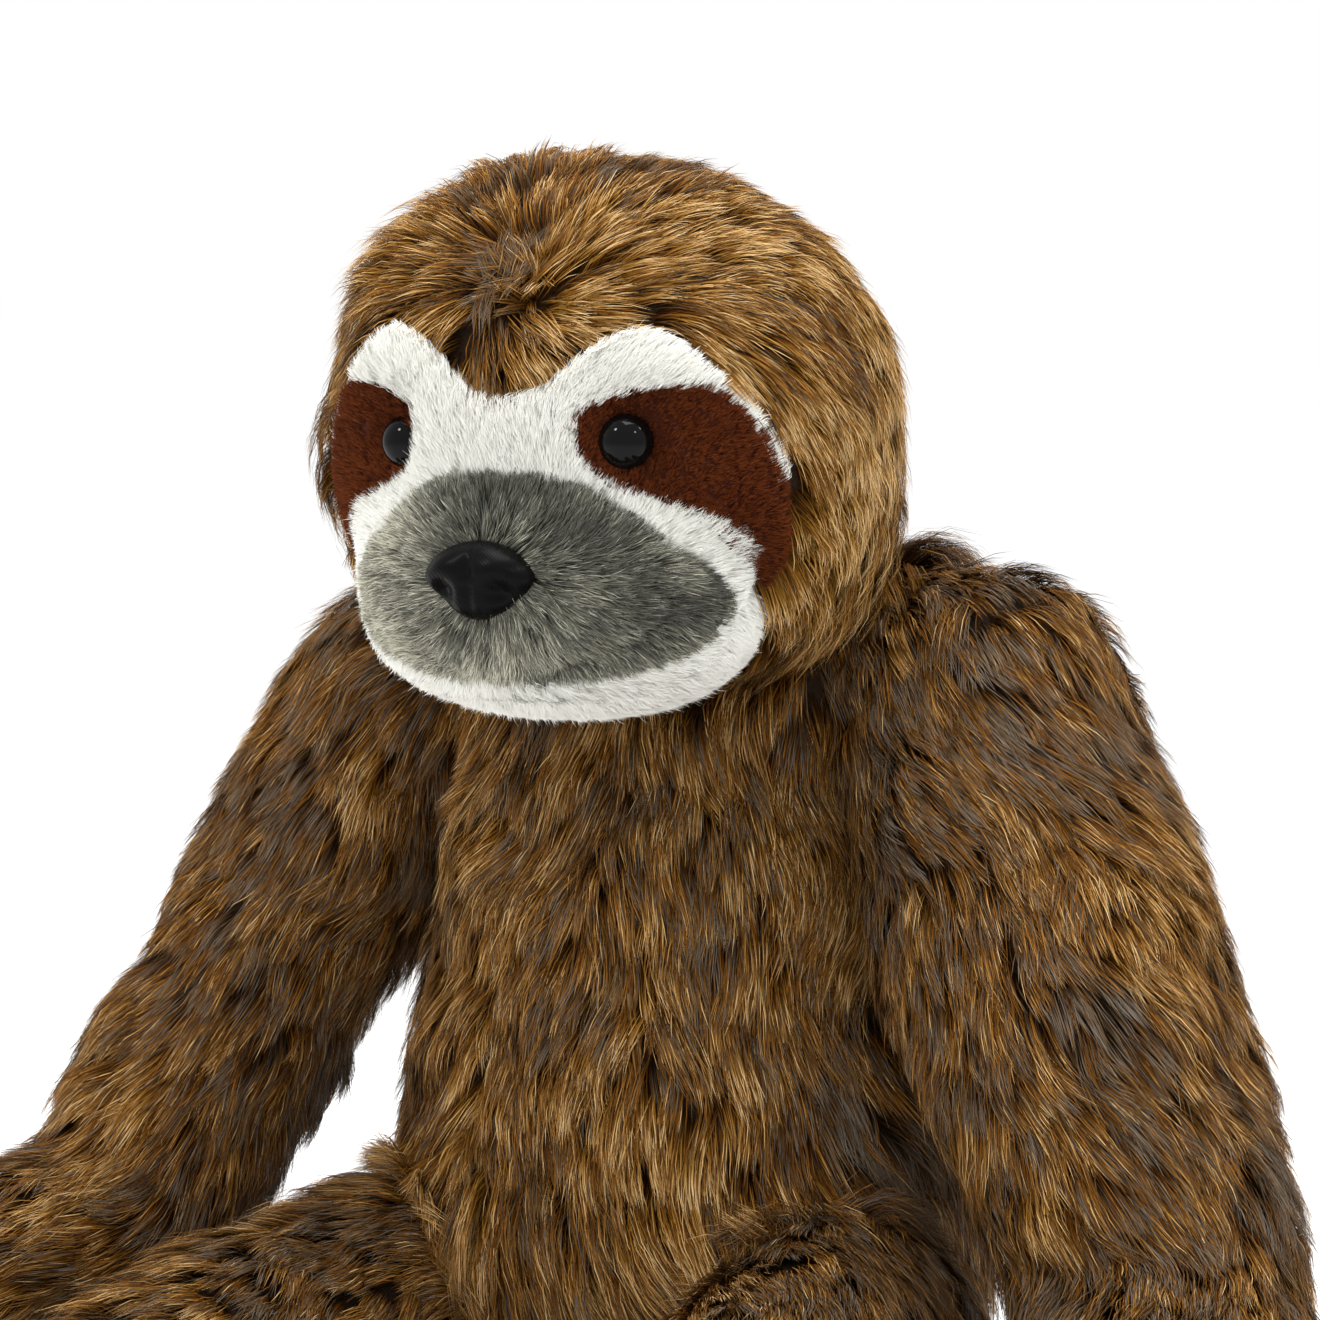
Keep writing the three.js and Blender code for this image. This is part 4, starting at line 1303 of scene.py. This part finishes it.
def kept_share(over, past):
    """How much of each lock to keep, so that it ends a little past its first step over an edge."""
    first = np.where(over.any(axis=1), over.argmax(axis=1), GUIDE_STEPS)
    return np.clip((first - 0.5) / GUIDE_STEPS + past, LEAST_KEPT, 1.0)


# The torso's roots start this high. Roots that lie deeper than this inside other skins are left out
LEAST_ROOT = 4
LIMB_HIDES = 14
TORSO_HIDES = 8
LIMB_ROOTS = 22

# The mask lies in front of this place, from the head's centre
MASK_FRONT = -8

# The tuft of short hairs at the whorl
TUFT_REACH = 17
TUFT_LENGTH = 15

# Shades of the fur: a place, a radius and how far the tone falls there. The head's are from its centre
# On the torso the spot on the chest greys the fur, and the two at the sides, by the arms, are painted shade
TORSO_GREY_AND_PAINTED_SHADE = [((45, -110, 250), 34, 0.4), ((112, -45, 170), 60, 0.3), ((-112, -45, 170), 60, 0.3)]
HEAD_GREYS_AND_PAINTED_LIGHT = [
    (WHORL, 22, 0.42),
    ((40, -82, 54), 18, 0.42),
    ((-16, -92, 38), 11, 0.35),
    ((-76, -60, 50), 14, 0.42),
    ((12, -30, 96), 22, 0.35),
    ((92, -20, 40), 16, 0.35),
    # Painted light: the tone rises on the near side of the head
    ((106, -10, 0), 48, -0.24),
]


def fur_pile(length, settings, **changes):
    """Long fur of a length in millimetres, from the fur's settings."""
    values = {
        "length": length,
        "height": settings.height / MM,
        "spacing": settings.spacing / MM,
        "per_lock": settings.per_lock,
        "width": settings.width / MM,
        "pinch": 0.35,
        "stray": 0.14,
    }
    return Pile(**{**values, **changes})


def off_mask(places):
    """Which roots of brown fur don't lie under the mask, but for a narrow edge beside the patches."""
    spot = on_face(places)
    front = from_head(places)[:, 1] < MASK_FRONT
    edge = 1 + 0.03 * smooth_step(-spot[:, 1:], 22, 34)
    return ~(front & inside(spot * edge, MASK_RING))


def trim_at_face(guides, length):
    """How much of each lock of the head to keep, so that it ends just past the mask's edge."""
    over = inside(on_face(guides), MASK_RING) & (from_head(guides)[..., 1] < MASK_FRONT)
    over[:, 0] = False
    side = smooth_step(np.abs(from_head(guides)[:, 0, 0]), 66, 80)
    return kept_share(over, (4.5 - 3 * side) * MM / length)


def torso_swell(places):
    """How much fuller the torso's fur stands: over the thighs and on the shoulders."""
    spot = places / MM
    lap = bell(spot[:, 2] - 125, 26) * smooth_step(-spot[:, 1], 30, 80)
    top = smooth_step(spot[:, 2], 320, 360) * smooth_step(-spot[:, 1], -50, 10)
    return 1 + lap + 0.3 * top


def arm_swell(places):
    """How much fuller an arm's fur stands: less on the outside of the far shoulder."""
    spot = places / MM
    return 1 - 0.5 * smooth_step(-spot[:, 0], 120, 170) * smooth_step(spot[:, 2], 160, 240)


def head_swell(places):
    """How much fuller the head's fur stands, or flatter, about its centre."""
    spot = from_head(places)
    x, y, z = spot.T
    beside = oval(x, y, (-104, -40), (16, 34))
    brow = smooth_step(-x, 60, 90) * smooth_step(z, 0, 30) * smooth_step(-z, -85, -60)
    low = smooth_step(-z, 20, 70)
    lean = smooth_step(z, 20, 75) * np.clip(x / 60, -1, 1)
    whorl = bell(np.linalg.norm(spot - WHORL, axis=1), 12)
    flare = oval(x, z, (95, -46), (26, 24)) * smooth_step(y, -50, 0)
    top = smooth_step(z, 60, 95) * bell(x + 50, 40)
    return 1 + 0.5 * beside - 0.7 * brow + 0.5 * low - 0.5 * lean + 0.8 * top + 0.5 * whorl + flare


class SLOTH_OT_fur(bpy.types.Operator):
    """Grows the long brown fur"""

    bl_idname = "sloth.fur"
    bl_label = "Fur"

    def execute(self, context):
        settings = context.scene.sloth_fur
        paint = strand_paint("long_fur", FUR_ROOTS, FUR_MIDDLES, FUR_TIPS)
        self.torso(settings, Coat(paint, "brown_fur", "torso"))
        self.head(settings, Coat(paint, "brown_fur", "head"))
        for word, side in SIDES.items():
            self.arm(word, side, settings, Coat(paint, "brown_fur"))
            self.leg(word, side, settings, Coat(paint, "brown_fur", f"{word}_leg"))
        return {"FINISHED"}

    @staticmethod
    def torso(settings, coat):
        """The torso's fur, which lies on over the thighs."""
        limbs = [f"{word}_{part}_cloth" for word in SIDES for part in ("arm", "leg")]

        def keep(places, facing):
            return (places[:, 2] > LEAST_ROOT * MM) & outside_of(limbs, LIMB_HIDES)(places, facing)

        grow(
            "torso_fur", bpy.data.objects["torso_cloth"], fur_pile(settings.length / MM, settings),
            torso_flow, fur_tone(0.55, TORSO_GREY_AND_PAINTED_SHADE), coat, seed=100, keep=keep, swell=torso_swell,
            over=draped(["torso_cloth", "left_leg_cloth", "right_leg_cloth"]),
        )

    @staticmethod
    def head(settings, coat):
        """The head's fur, and the tuft of short hairs at its whorl."""
        cloth = bpy.data.objects["head_cloth"]
        shades = [(head_place(place) / MM, radius, fall) for place, radius, fall in HEAD_GREYS_AND_PAINTED_LIGHT]

        def keep(places, facing):
            return off_mask(places) & outside_of(["torso_cloth"], TORSO_HIDES)(places, facing)

        def at_whorl(places, facing):
            return np.linalg.norm(places - head_place(WHORL), axis=1) < TUFT_REACH * MM

        grow(
            "head_fur", cloth, fur_pile(settings.head_length / MM, settings, height=8.5), head_flow,
            fur_tone(0.72, shades, 71), coat, seed=200, keep=keep, trim=trim_at_face, swell=head_swell,
            over=draped(["head_cloth", "torso_cloth", "left_arm_cloth", "right_arm_cloth"]),
        )
        tuft = fur_pile(TUFT_LENGTH, settings, height=5, spacing=2.6, per_lock=14, lift=0.35)
        grow("whorl_fur", cloth, tuft, every_way, fur_tone(0.26, seed=75), coat, seed=240, keep=at_whorl)

    @staticmethod
    def arm(word, side, settings, coat):
        """One arm's fur."""
        pieces = grow(
            f"{word}_arm_fur", bpy.data.objects[f"{word}_arm_cloth"],
            fur_pile(settings.length / MM, settings),
            limb_flow(arm_line(word, side), 81, fall=0.25, root_reach=70),
            fur_tone(0.37, seed=91 + side, blotches=0.09), coat, seed=300 + side,
            keep=outside_of(["torso_cloth"], LIMB_ROOTS), swell=arm_swell,
        )
        for piece in pieces:
            bend_arm(piece)

    @staticmethod
    def leg(word, side, settings, coat):
        """One leg's fur."""
        grow(
            f"{word}_leg_fur", bpy.data.objects[f"{word}_leg_cloth"],
            fur_pile(settings.length / MM, settings),
            limb_flow(mirrored([HIP, FOOT], side), 85, fall=0.9, root_reach=140),
            # The tone falls on the outside of the leg's top by the hip: painted shade under the belly
            fur_tone(0.48, [((side * 112, -100, 118), 50, 0.2)], 95 + side), coat, seed=400 + side,
            keep=outside_of(["torso_cloth"], LIMB_ROOTS),
        )


# The sewn panels: layers of faces, lift off the head and middle, and how much smaller the chin is
PATCH_LAYERS = 14
PATCH_LIFT = 1.2
MASK_LIFT = 0.4
MASK_MIDDLE = (0, -30)
CHIN_SHRINK = 2

# Pile is left out of a piece's back, where its normal points further back than this
FACES_BACK = 0.3


def from_front(places, facing):
    """Which roots on a panel don't lie on its back."""
    return facing[:, 1] < FACES_BACK


def on_chin(places, facing):
    """Which roots of the chin's plush lie outside the mask, under the muzzle and not on the back."""
    spot = on_face(places)
    return (facing[:, 1] < 0.55) & ~inside(spot, MASK_RING) & (spot[:, 1] < -48)


def in_any(points, rings):
    """Which points of the face lie inside any of the outlines."""
    spots = on_face(points)
    return np.any([inside(spots, ring) for ring in rings], axis=0)


class SLOTH_OT_face(bpy.types.Operator):
    """Makes the white mask, the eye patches and the chin with their pile"""

    bl_idname = "sloth.face"
    bl_label = "Face"

    def execute(self, context):
        settings = context.scene.sloth_face
        cloth = cloth_paint("white_backing", (0.80, 0.79, 0.74), (0.92, 0.91, 0.87), 900)
        paint = strand_paint("white_plush", WHITE_ROOTS, WHITE_TIPS, WHITE_TIPS, 0.7, 0.25, 0.1)
        pile = Pile(
            length=settings.white_length / MM, height=2.8, spacing=1.7, per_lock=11, width=0.24,
            spread=1.25, stray=0.03, lift=0.07, wave=0.6, segments=2, mixing=0.2,
        )
        coat = Coat(paint, "white_pile", "head")
        self.mask(cloth, pile, coat)
        self.patches(settings)
        chin = bulge("chin_cloth", SNOUT_PLACE, np.array(SNOUT_HALF) - CHIN_SHRINK)
        dress(chin, cloth, "head", ["chin"])
        flow = spread_from(MUZZLE_FLOW, 51)
        grow("chin_plush", chin, pile, flow, plain_tone(0.6), coat, seed=540, keep=on_chin)
        return {"FINISHED"}

    @staticmethod
    def mask(cloth, pile, coat):
        """The white mask, with its plush cut away at the patches and the muzzle."""
        patches = list(PATCH_RINGS.values())

        def keep(places, facing):
            return ~in_any(places, [*patches, MUZZLE_RING])

        def trim(guides, length):
            return kept_share(in_any(guides, patches), 1.5 * MM / length)

        mask = panel("face_mask_cloth", MASK_RING, MASK_MIDDLE, MASK_LIFT)
        dress(mask, cloth, "head", ["face_mask"])
        flow = spread_from(FACE_FLOW, 41)
        grow("face_mask_plush", mask, pile, flow, plain_tone(0.5), coat, seed=500, keep=keep, trim=trim)

    @staticmethod
    def patches(settings):
        """The eye patches of short maroon velour."""
        cloth = cloth_paint("velour_backing", (0.030, 0.007, 0.003), (0.080, 0.018, 0.006), 1400)
        paint = strand_paint("velour_pile", MAROON_ROOTS, MAROON_TIPS, MAROON_TIPS, 0.7, 0.05)
        pile = Pile(
            length=settings.patch_length / MM, height=2.0, spacing=1.5, per_lock=7, width=0.3,
            spread=1.1, lift=0.25, wave=0.4, segments=2, mixing=0.2,
        )
        coat = Coat(paint, "patch_velour", "head")
        flow = spread_from(FACE_FLOW, 41)
        for word, side in SIDES.items():
            name = f"{word}_eye_patch"
            ring = PATCH_RINGS[word]
            patch = panel(f"{name}_cloth", ring, ring.mean(axis=0), PATCH_LIFT, layers=PATCH_LAYERS)
            dress(patch, cloth, "head", [name])
            grow(f"{name}_velour", patch, pile, flow, plain_tone(0.5), coat, seed=520 + side, keep=from_front)


# The mouth's line on one side: across and up from the head's centre. It is pressed in, and on the near side
# its pile is darkened as painted shade in the crease
MOUTH = [(16, -88), (34, -84), (48, -79), (58, -73), (65, -65)]
MOUTH_DEPTH = 4.5
MOUTH_WIDTH = 5
MOUTH_PAINTED_SHADE_WIDTH = 6
MUZZLE_LIFT = 1.6
MUZZLE_MIDDLE = (0, -56)

# Darker spots of the muzzle's pile: one high near the middle, and two by the near mouth corner that are
# painted shade in its dimple. Each is a place across and up from the head's centre, and a reach across and up
MUZZLE_SPOTS_AND_PAINTED_SHADE = [((20, -34), (26, 15)), ((66, -66), (13, 13)), ((48, -62), (14, 10))]


def mouth_gap(points):
    """Distance of points on the muzzle from the mouth's line on their side, in millimetres."""
    spot = on_face(points)
    across = np.stack([np.abs(spot[..., 0]), spot[..., 1]], axis=-1)
    best = np.full(across.shape[:-1], np.inf)
    for a, b in zip(MOUTH, MOUTH[1:]):
        start = np.array(a, float)
        line = np.array(b, float) - start
        share = np.clip((across - start) @ line / (line @ line), 0, 1)[..., None]
        best = np.minimum(best, np.linalg.norm(across - start - share * line, axis=-1))
    return best


def muzzle_tone(places, random):
    """Grey tones of the muzzle: paler on the far side as painted light and paler low down, darker at its
    spots, and with painted shade along the near mouth line.
    """
    x, z = on_face(places).T
    # The far side's paleness is painted light
    pale = 0.34 * smooth_step(-x, 4, 50) + 0.26 * smooth_step(-z, 64, 86)
    value = 0.41 + pale + 0.18 * patches_of(places, 14 * MM, 5) + random.normal(0, 0.07, len(places))
    for middle, reach in MUZZLE_SPOTS_AND_PAINTED_SHADE:
        value = value - 0.28 * oval(x, z, middle, reach)
    # Painted shade along the mouth's crease, on the near side only
    value = value - 0.34 * bell(mouth_gap(places), MOUTH_PAINTED_SHADE_WIDTH) * (x > 0)
    return np.clip(value, *TONE_ENDS)


def trim_at_muzzle(guides, length):
    """How much of each lock to keep, so that it ends just past the muzzle's edge."""
    return kept_share(~inside(on_face(guides), MUZZLE_RING), 3 * MM / length)


class SLOTH_OT_muzzle(bpy.types.Operator):
    """Makes the grey muzzle with its mouth line, and its pile"""

    bl_idname = "sloth.muzzle"
    bl_label = "Muzzle"

    def execute(self, context):
        settings = context.scene.sloth_face
        muzzle = panel("muzzle_cloth", MUZZLE_RING, MUZZLE_MIDDLE, MUZZLE_LIFT)
        points, normals = read_points(muzzle)
        points[:, 1] += MOUTH_DEPTH * MM * bell(mouth_gap(points), MOUTH_WIDTH)
        set_points(muzzle, points)
        cloth = cloth_paint("grey_backing", (0.020, 0.021, 0.019), (0.070, 0.072, 0.066), 900)
        dress(muzzle, cloth, "head", ["muzzle"])
        paint = strand_paint("grey_pile", GREY_ROOTS, GREY_MIDDLES, GREY_TIPS, 0.6, 0.3)
        pile = Pile(
            length=settings.muzzle_length / MM, height=3.8, spacing=2.2, per_lock=14, width=0.26,
            pinch=0.2, spread=1.15, lift=0.04,
        )
        grow(
            "muzzle_pile", muzzle, pile, spread_from(MUZZLE_FLOW, 51), muzzle_tone,
            Coat(paint, "grey_pile", "head"), seed=560, keep=from_front, trim=trim_at_muzzle,
        )
        return {"FINISHED"}


# The nose pad narrows upwards and sinks at its top. Its front has two nostrils, a lobe over each and a
# fold between them: how deep each is pressed in, its place across and up, and its reach across and up
NOSE_ROUND = 0.75
NOSE_NARROW = 0.34
NOSE_SINK = 0.12
NOSE_DENTS = [
    (5.5, (-12, -4), (5.0, 4.6)),
    (5.5, (12, -4), (5.0, 4.6)),
    (-2.0, (-11, 6), (8, 7)),
    (-2.0, (11, 6), (8, 7)),
    (1.8, (0, -2), (2.4, 13)),
]


class SLOTH_OT_nose(bpy.types.Operator):
    """Makes the padded satin nose"""

    bl_idname = "sloth.nose"
    bl_label = "Nose"

    def execute(self, context):
        half = np.array(NOSE_HALF, float)
        turns, around = round_grid(96, 48)
        depth = -np.cos(turns) * np.ones_like(around)
        radius = np.sin(turns) ** NOSE_ROUND
        across = np.cos(around) * radius
        rise = np.sin(around) * radius
        x = across * (1 - NOSE_NARROW * smooth_step(-rise, -0.2, 1.0)) * half[0]
        z = rise * (1 - NOSE_SINK * across**2 * (rise > 0)) * half[2]
        y = depth * half[1]
        for deep, middle, reach in NOSE_DENTS:
            y = y + deep * oval(x, z, middle, reach) * (depth < 0)
        rings = np.stack([x, y, z], axis=-1) * MM + head_place(NOSE_PLACE)
        ends = [head_place(NOSE_PLACE) + (0, end * half[1] * MM, 0) for end in (-1, 1)]
        nose = loft("nose_pad", rings, *ends)
        nose.data.flip_normals()
        satin = self.satin(context.scene.sloth_face.nose_colour)
        dress(nose, satin, "head", ["nose"])
        return {"FINISHED"}

    @staticmethod
    def satin(colour):
        """Black satin with a fine weave."""
        paint = Paint("nose_satin", Roughness=0.2, Specular_IOR_Level=0.04)
        where = paint.node("ShaderNodeTexCoord", {}, {}, "Object")
        weave = paint.node(
            "ShaderNodeTexWave",
            {"wave_type": "BANDS", "bands_direction": "DIAGONAL"},
            {"Vector": where, "Scale": 420.0, "Distortion": 0.6, "Detail": 1.0},
            1,
        )
        worn = paint.noise(90.0, 3.0)
        tone = (weave * 0.35 + worn * 0.4).clamped()
        paint.feed("Base Color", paint.mix(tone, (*colour, 1), (0.006, 0.006, 0.006, 1)))
        paint.feed("Roughness", 0.2 + worn * 0.14)
        paint.bump(weave, 0.25, 0.15 * MM)
        return paint.material


# How far the eye's ball bulges to the front and to the back, as shares of its radius
EYE_FRONT = 0.96
EYE_BACK = 0.55


class SLOTH_OT_eyes(bpy.types.Operator):
    """Makes the glossy ball eyes"""

    bl_idname = "sloth.eyes"
    bl_label = "Eyes"

    def execute(self, context):
        gloss = self.gloss(context.scene.sloth_face.eye_colour)
        turns, around = round_grid(64, 40)
        x = np.sin(turns) * np.cos(around)
        z = np.sin(turns) * np.sin(around)
        y = -np.cos(turns) * np.ones_like(around)
        ball = np.stack([x, np.where(y > 0, y * EYE_BACK, y * EYE_FRONT), z], axis=-1) * EYE_RADIUS
        poles = np.array([(0, -EYE_FRONT, 0), (0, EYE_BACK, 0)]) * EYE_RADIUS
        for word, side in SIDES.items():
            cosine, sine = math.cos(side * EYE_TURN), math.sin(side * EYE_TURN)
            spin = np.array([[cosine, -sine, 0], [sine, cosine, 0], [0, 0, 1]])
            move = head_place(EYE_PLACES[word])
            eye = loft(f"{word}_eye_ball", ball @ spin.T * MM + move, *(poles @ spin.T * MM + move))
            eye.data.flip_normals()
            dress(eye, gloss, "head", [f"{word}_eye"])
        return {"FINISHED"}

    @staticmethod
    def gloss(colour):
        """Glossy black plastic."""
        shine = {"Specular_IOR_Level": 0.06, "Coat_Weight": 0.1, "Coat_Roughness": 0.02}
        paint = Paint("eye_gloss", Roughness=0.04, **shine)
        speck = paint.noise(60.0, 1.0)
        paint.feed("Base Color", paint.mix(speck, (*colour, 1), (0.004, 0.003, 0.003, 1)))
        return paint.material


# Each paw: the joint its limb comes from, its middle, how far in front of it the claws stand, and its body.
# The claws' roots lie inside the paw, and are a little flatter than round
PAWS = {"hand": (ELBOW, HAND, 31, "forearm"), "foot": (HIP, FOOT, 24, "leg")}
CLAW_ROOT = 14
CLAW_FLATNESS = 0.92


class SLOTH_OT_claws(bpy.types.Operator):
    """Makes the felt claws of hands and feet"""

    bl_idname = "sloth.claws"
    bl_label = "Claws"

    def execute(self, context):
        felt = cloth_paint("claw_felt", (0.30, 0.24, 0.17), (0.50, 0.43, 0.32), 1500, 0.9, 0.3)
        for word, side in SIDES.items():
            for limb, (joint, paw, forward, body) in PAWS.items():
                for i in range(CLAWS):
                    name = f"{word}_{limb}_claw_{i + 1}"
                    claw = self.claw(f"{name}_felt", *mirrored([joint, paw], side), forward, i - 1)
                    dress(claw, felt, f"{word}_{body}", [name])
        return {"FINISHED"}

    @staticmethod
    def claw(name, joint, paw, forward, place):
        """A curved claw in the front of a paw, in the middle or beside it."""
        way = unit((np.array(paw, float) - joint) * (1, 1, 0))
        up = np.array([0, 0, 1.0])
        across = np.cross(way, up)
        share = np.linspace(0, 1, 15)[:, None]
        out = forward - CLAW_ROOT + (CLAW_LENGTH + CLAW_ROOT) * share
        middles = paw + way * out - up * CLAW_BEND * share**2 - across * place * CLAW_SPREAD
        sizes = CLAW_RADIUS + (CLAW_TIP_RADIUS - CLAW_RADIUS) * share**2
        lines = unit(np.gradient(middles, axis=0))
        turn = np.linspace(0, 2 * np.pi, 20, endpoint=False)[None, :, None]
        outwards = np.cos(turn) * across * CLAW_FLATNESS + np.sin(turn) * np.cross(across, lines)[:, None]
        rings = middles[:, None] + sizes[:, None] * outwards
        tip = middles[-1] + lines[-1] * CLAW_TIP_RADIUS
        return loft(name, rings * MM, middles[0] * MM, tip * MM)


# Cloths of the pieces inside: name, dark and light tone, scale, roughness and depth of the nap
INSIDES = {
    "stuffing": ("filling_fibre", (0.62, 0.60, 0.56), (0.86, 0.85, 0.81), 300, 0.95, 1.5),
    "pouch": ("pouch_cotton", (0.50, 0.45, 0.36), (0.68, 0.63, 0.52), 1200, 0.9, 0.3),
    "seam": ("closing_thread", (0.030, 0.016, 0.008), (0.090, 0.050, 0.022), 2500, 0.8, 0.2),
    "washer": ("washer_plastic", (0.60, 0.60, 0.58), (0.72, 0.72, 0.70), 400, 0.45, 0.05),
}


class SLOTH_OT_inside(bpy.types.Operator):
    """Paints the filling, pouch, seam and washers inside the skins"""

    bl_idname = "sloth.inside"
    bl_label = "Inside"

    def execute(self, context):
        paints = {word: cloth_paint(*values) for word, values in INSIDES.items()}
        for name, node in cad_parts.items():
            for word, paint in paints.items():
                if word in name and not node.hide_render:
                    wear(node, paint)
        return {"FINISHED"}


class SLOTH_PT_panel(bpy.types.Panel):
    """Lists the sloth's pieces and sizes"""

    bl_label = "Plush sloth"
    bl_idname = "SLOTH_PT_panel"
    bl_space_type = "VIEW_3D"
    bl_region_type = "UI"
    bl_category = PANEL_TAB

    def draw(self, context):
        for operator in OPERATORS:
            self.layout.operator(operator.bl_idname)
        for group in SETTINGS:
            settings = getattr(context.scene, group)
            for name in settings.bl_rna.properties.keys():
                if name not in ("rna_type", "name"):
                    self.layout.prop(settings, name)


OPERATORS = (
    SLOTH_OT_stage,
    SLOTH_OT_skins,
    SLOTH_OT_fur,
    SLOTH_OT_face,
    SLOTH_OT_muzzle,
    SLOTH_OT_nose,
    SLOTH_OT_eyes,
    SLOTH_OT_claws,
    SLOTH_OT_inside,
)
SETTINGS = {"sloth_fur": SlothFur, "sloth_face": SlothFace, "sloth_stage": SlothStage}
CLASSES = (*SETTINGS.values(), *OPERATORS, SLOTH_PT_panel)


def register():
    for each in CLASSES:
        bpy.utils.register_class(each)
    for group, settings in SETTINGS.items():
        setattr(bpy.types.Scene, group, PointerProperty(type=settings))


def unregister():
    for group in SETTINGS:
        delattr(bpy.types.Scene, group)
    for each in reversed(CLASSES):
        bpy.utils.unregister_class(each)


def main():
    register()
    for step in ("stage", "skins", "fur", "face", "muzzle", "nose", "eyes", "claws", "inside"):
        getattr(bpy.ops.sloth, step)()


if __name__ == "__main__":
    main()
